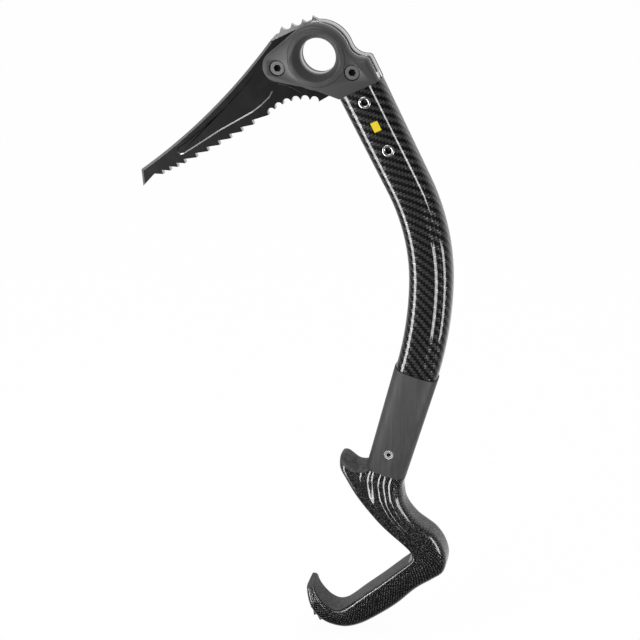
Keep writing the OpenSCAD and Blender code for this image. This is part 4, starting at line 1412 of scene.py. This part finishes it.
    def build(self, nodes: dict[str, Piece]) -> None:
        """Build the handle's pieces, and dress the core and the toothed plate.

        Args:
            nodes: The CAD pieces by name.
        """
        # The handle's tows carry a paler painted sheen than the shaft's.
        cloth = WovenCarbon(Weave.FINE_TWILL, painted_sheen="#848486", speckle_mm=1.1).build()
        rubber = MouldedPlastic("grip_rubber", "#2b2b2c", "#5a5a5b", 0.6, 0.6, 2.6).build()
        for side in Side:
            name = side.name.lower()
            skin = self.surface(f"handle_skin_{name}", (side,), False)
            keep(skin, cloth, "handle_carbon", f"handle_shell_{name}")
        keep(self.surface("hook_grip", tuple(Side), True), rubber, "pad_rubber", "hook_pad")
        keep(self.horn(), rubber, "pad_rubber", "horn_pad")
        foam = MouldedPlastic("polyurethane_foam", "#cdbf93", "#d8cca5", 0.8, 0.3)
        dress(nodes["handle_core"], foam.build())
        steel = TurnedMetal("ground_steel", "#a5a7a8", "#77797b", 0.35)
        dress(nodes["spike_plate"], steel.build())


def aim(piece: Piece, place: Spot, target: Spot) -> None:
    """Put a lamp or the camera at a place and point it at its target."""
    piece.location = place
    piece.rotation_euler = (Vector(target) - Vector(place)).to_track_quat("-Z", "Y").to_euler()


@dataclass(frozen=True)
class Lamp:
    """A soft box: where it hangs, what it points at, its size in metres and its power in watts."""

    name: str
    place: Spot
    target: Spot
    size: Pair
    power: float
    diffuse: bool = True
    glossy: bool = True

    def build(self) -> None:
        """Hang the lamp."""
        data = bpy.data.lights.new(self.name, "AREA")
        data.shape = "RECTANGLE"
        data.size, data.size_y = self.size
        data.energy = self.power
        lamp = link(self.name, data)
        aim(lamp, self.place, self.target)
        lamp.visible_camera = False
        lamp.visible_diffuse = self.diffuse
        lamp.visible_glossy = self.glossy


@dataclass
class Studio:
    """Paper floor, soft boxes, the surroundings and the camera. Sizes in metres."""

    eye: Spot = (0.3125, -1.3, 0.3361)
    target: Spot = (0.0005, 0.0, -0.206)
    lens: float = 106.77
    floor_half: float = 6.0
    floor_z: float = -0.4703
    fill: float = 0.58
    front_dim: float = 0.07
    back_bright: float = 0.9

    def floor(self) -> None:
        """Lay the paper floor."""
        h = self.floor_half
        corners = [(-h, -h), (h, -h), (h, h), (-h, h)]
        mesh = bpy.data.meshes.new("paper_floor")
        mesh.from_pydata([(x, y, self.floor_z) for x, y in corners], [], [(0, 1, 2, 3)])
        floor = link("paper_floor", mesh)
        dress(floor, PalePaper().build())
        floor.visible_glossy = False

    def surroundings(self) -> None:
        """Set the world: white to the camera, white behind the tool and dim in front of it."""
        world = bpy.data.worlds.new("studio")
        bpy.context.scene.world = world
        world.use_nodes = True
        tree = world.node_tree
        tree.nodes.clear()
        ray = add(tree, "LightPath").outputs
        rays = {0: ray["Is Camera Ray"], 1: ray["Is Transmission Ray"]}
        strength = add(tree, "Math", rays, operation="MAXIMUM")
        direction = add(tree, "TexCoord").outputs["Generated"]
        depth = add(tree, "SeparateXYZ", {0: direction}).outputs["Y"]
        ends = {"To Min": self.front_dim, "To Max": self.back_bright}
        behind = add(tree, "MapRange", {0: depth, "From Min": -0.25, "From Max": 0.55, **ends})
        for kind, share in (("Glossy", behind), ("Diffuse", self.fill)):
            values = {0: ray[f"Is {kind} Ray"], 1: share}
            lit = add(tree, "Math", values, operation="MULTIPLY")
            strength = add(tree, "Math", {0: strength, 1: lit}, operation="MAXIMUM")
        sky = add(tree, "Background", {"Color": "#ffffff", "Strength": strength})
        add(tree, "OutputWorld", {0: sky})

    def camera(self) -> None:
        """Place the camera at the photograph's viewing angle."""
        data = bpy.data.cameras.new("camera")
        data.lens = self.lens
        data.sensor_width = 36
        camera = link("camera", data)
        aim(camera, self.eye, self.target)
        bpy.context.scene.camera = camera

    def build(self) -> None:
        """Build the whole studio."""
        self.floor()
        self.surroundings()
        self.camera()
        for lamp in (
            Lamp("key", (-0.7, -1.1, 0.9), (0, 0, -0.2), (0.9, 0.9), 10.0),
            Lamp("left_strip", (-0.37, -0.4, -0.42), (0.06, 0, -0.22), (0.17, 0.6), 4.8, False),
            Lamp("right_box", (0.42, -0.33, -0.34), (0.05, 0, -0.34), (0.16, 0.26), 1.6, False),
            Lamp("front_strip", (0.03, -0.26, -0.452), (0.02, 0, -0.36), (0.05, 0.02), 0.06, False),
            Lamp("top", (0.2, 0.3, 1.2), (0, 0, -0.2), (0.8, 0.5), 5.0, glossy=False),
        ):
            lamp.build()
        bpy.context.scene.view_settings.view_transform = "Standard"


def corners(box: tuple[Vector, Vector]) -> list[list[float]]:
    """Return a box's two corners as plain lists."""
    return [list(corner) for corner in box]


def main() -> None:
    """Build the tool's pieces and the studio round it."""
    logging.basicConfig(level=logging.INFO, format="%(name)s: %(message)s")
    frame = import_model()
    nodes = frame["nodes"]
    line = CentreLine()
    sleeve = Sleeve(line)
    Pick().build(nodes)
    Head(line).build(nodes)
    Shaft(line).build()
    sleeve.build(nodes)
    Handle(line, sleeve).build(nodes)
    Studio().build()


if __name__ == "__main__":
    main()
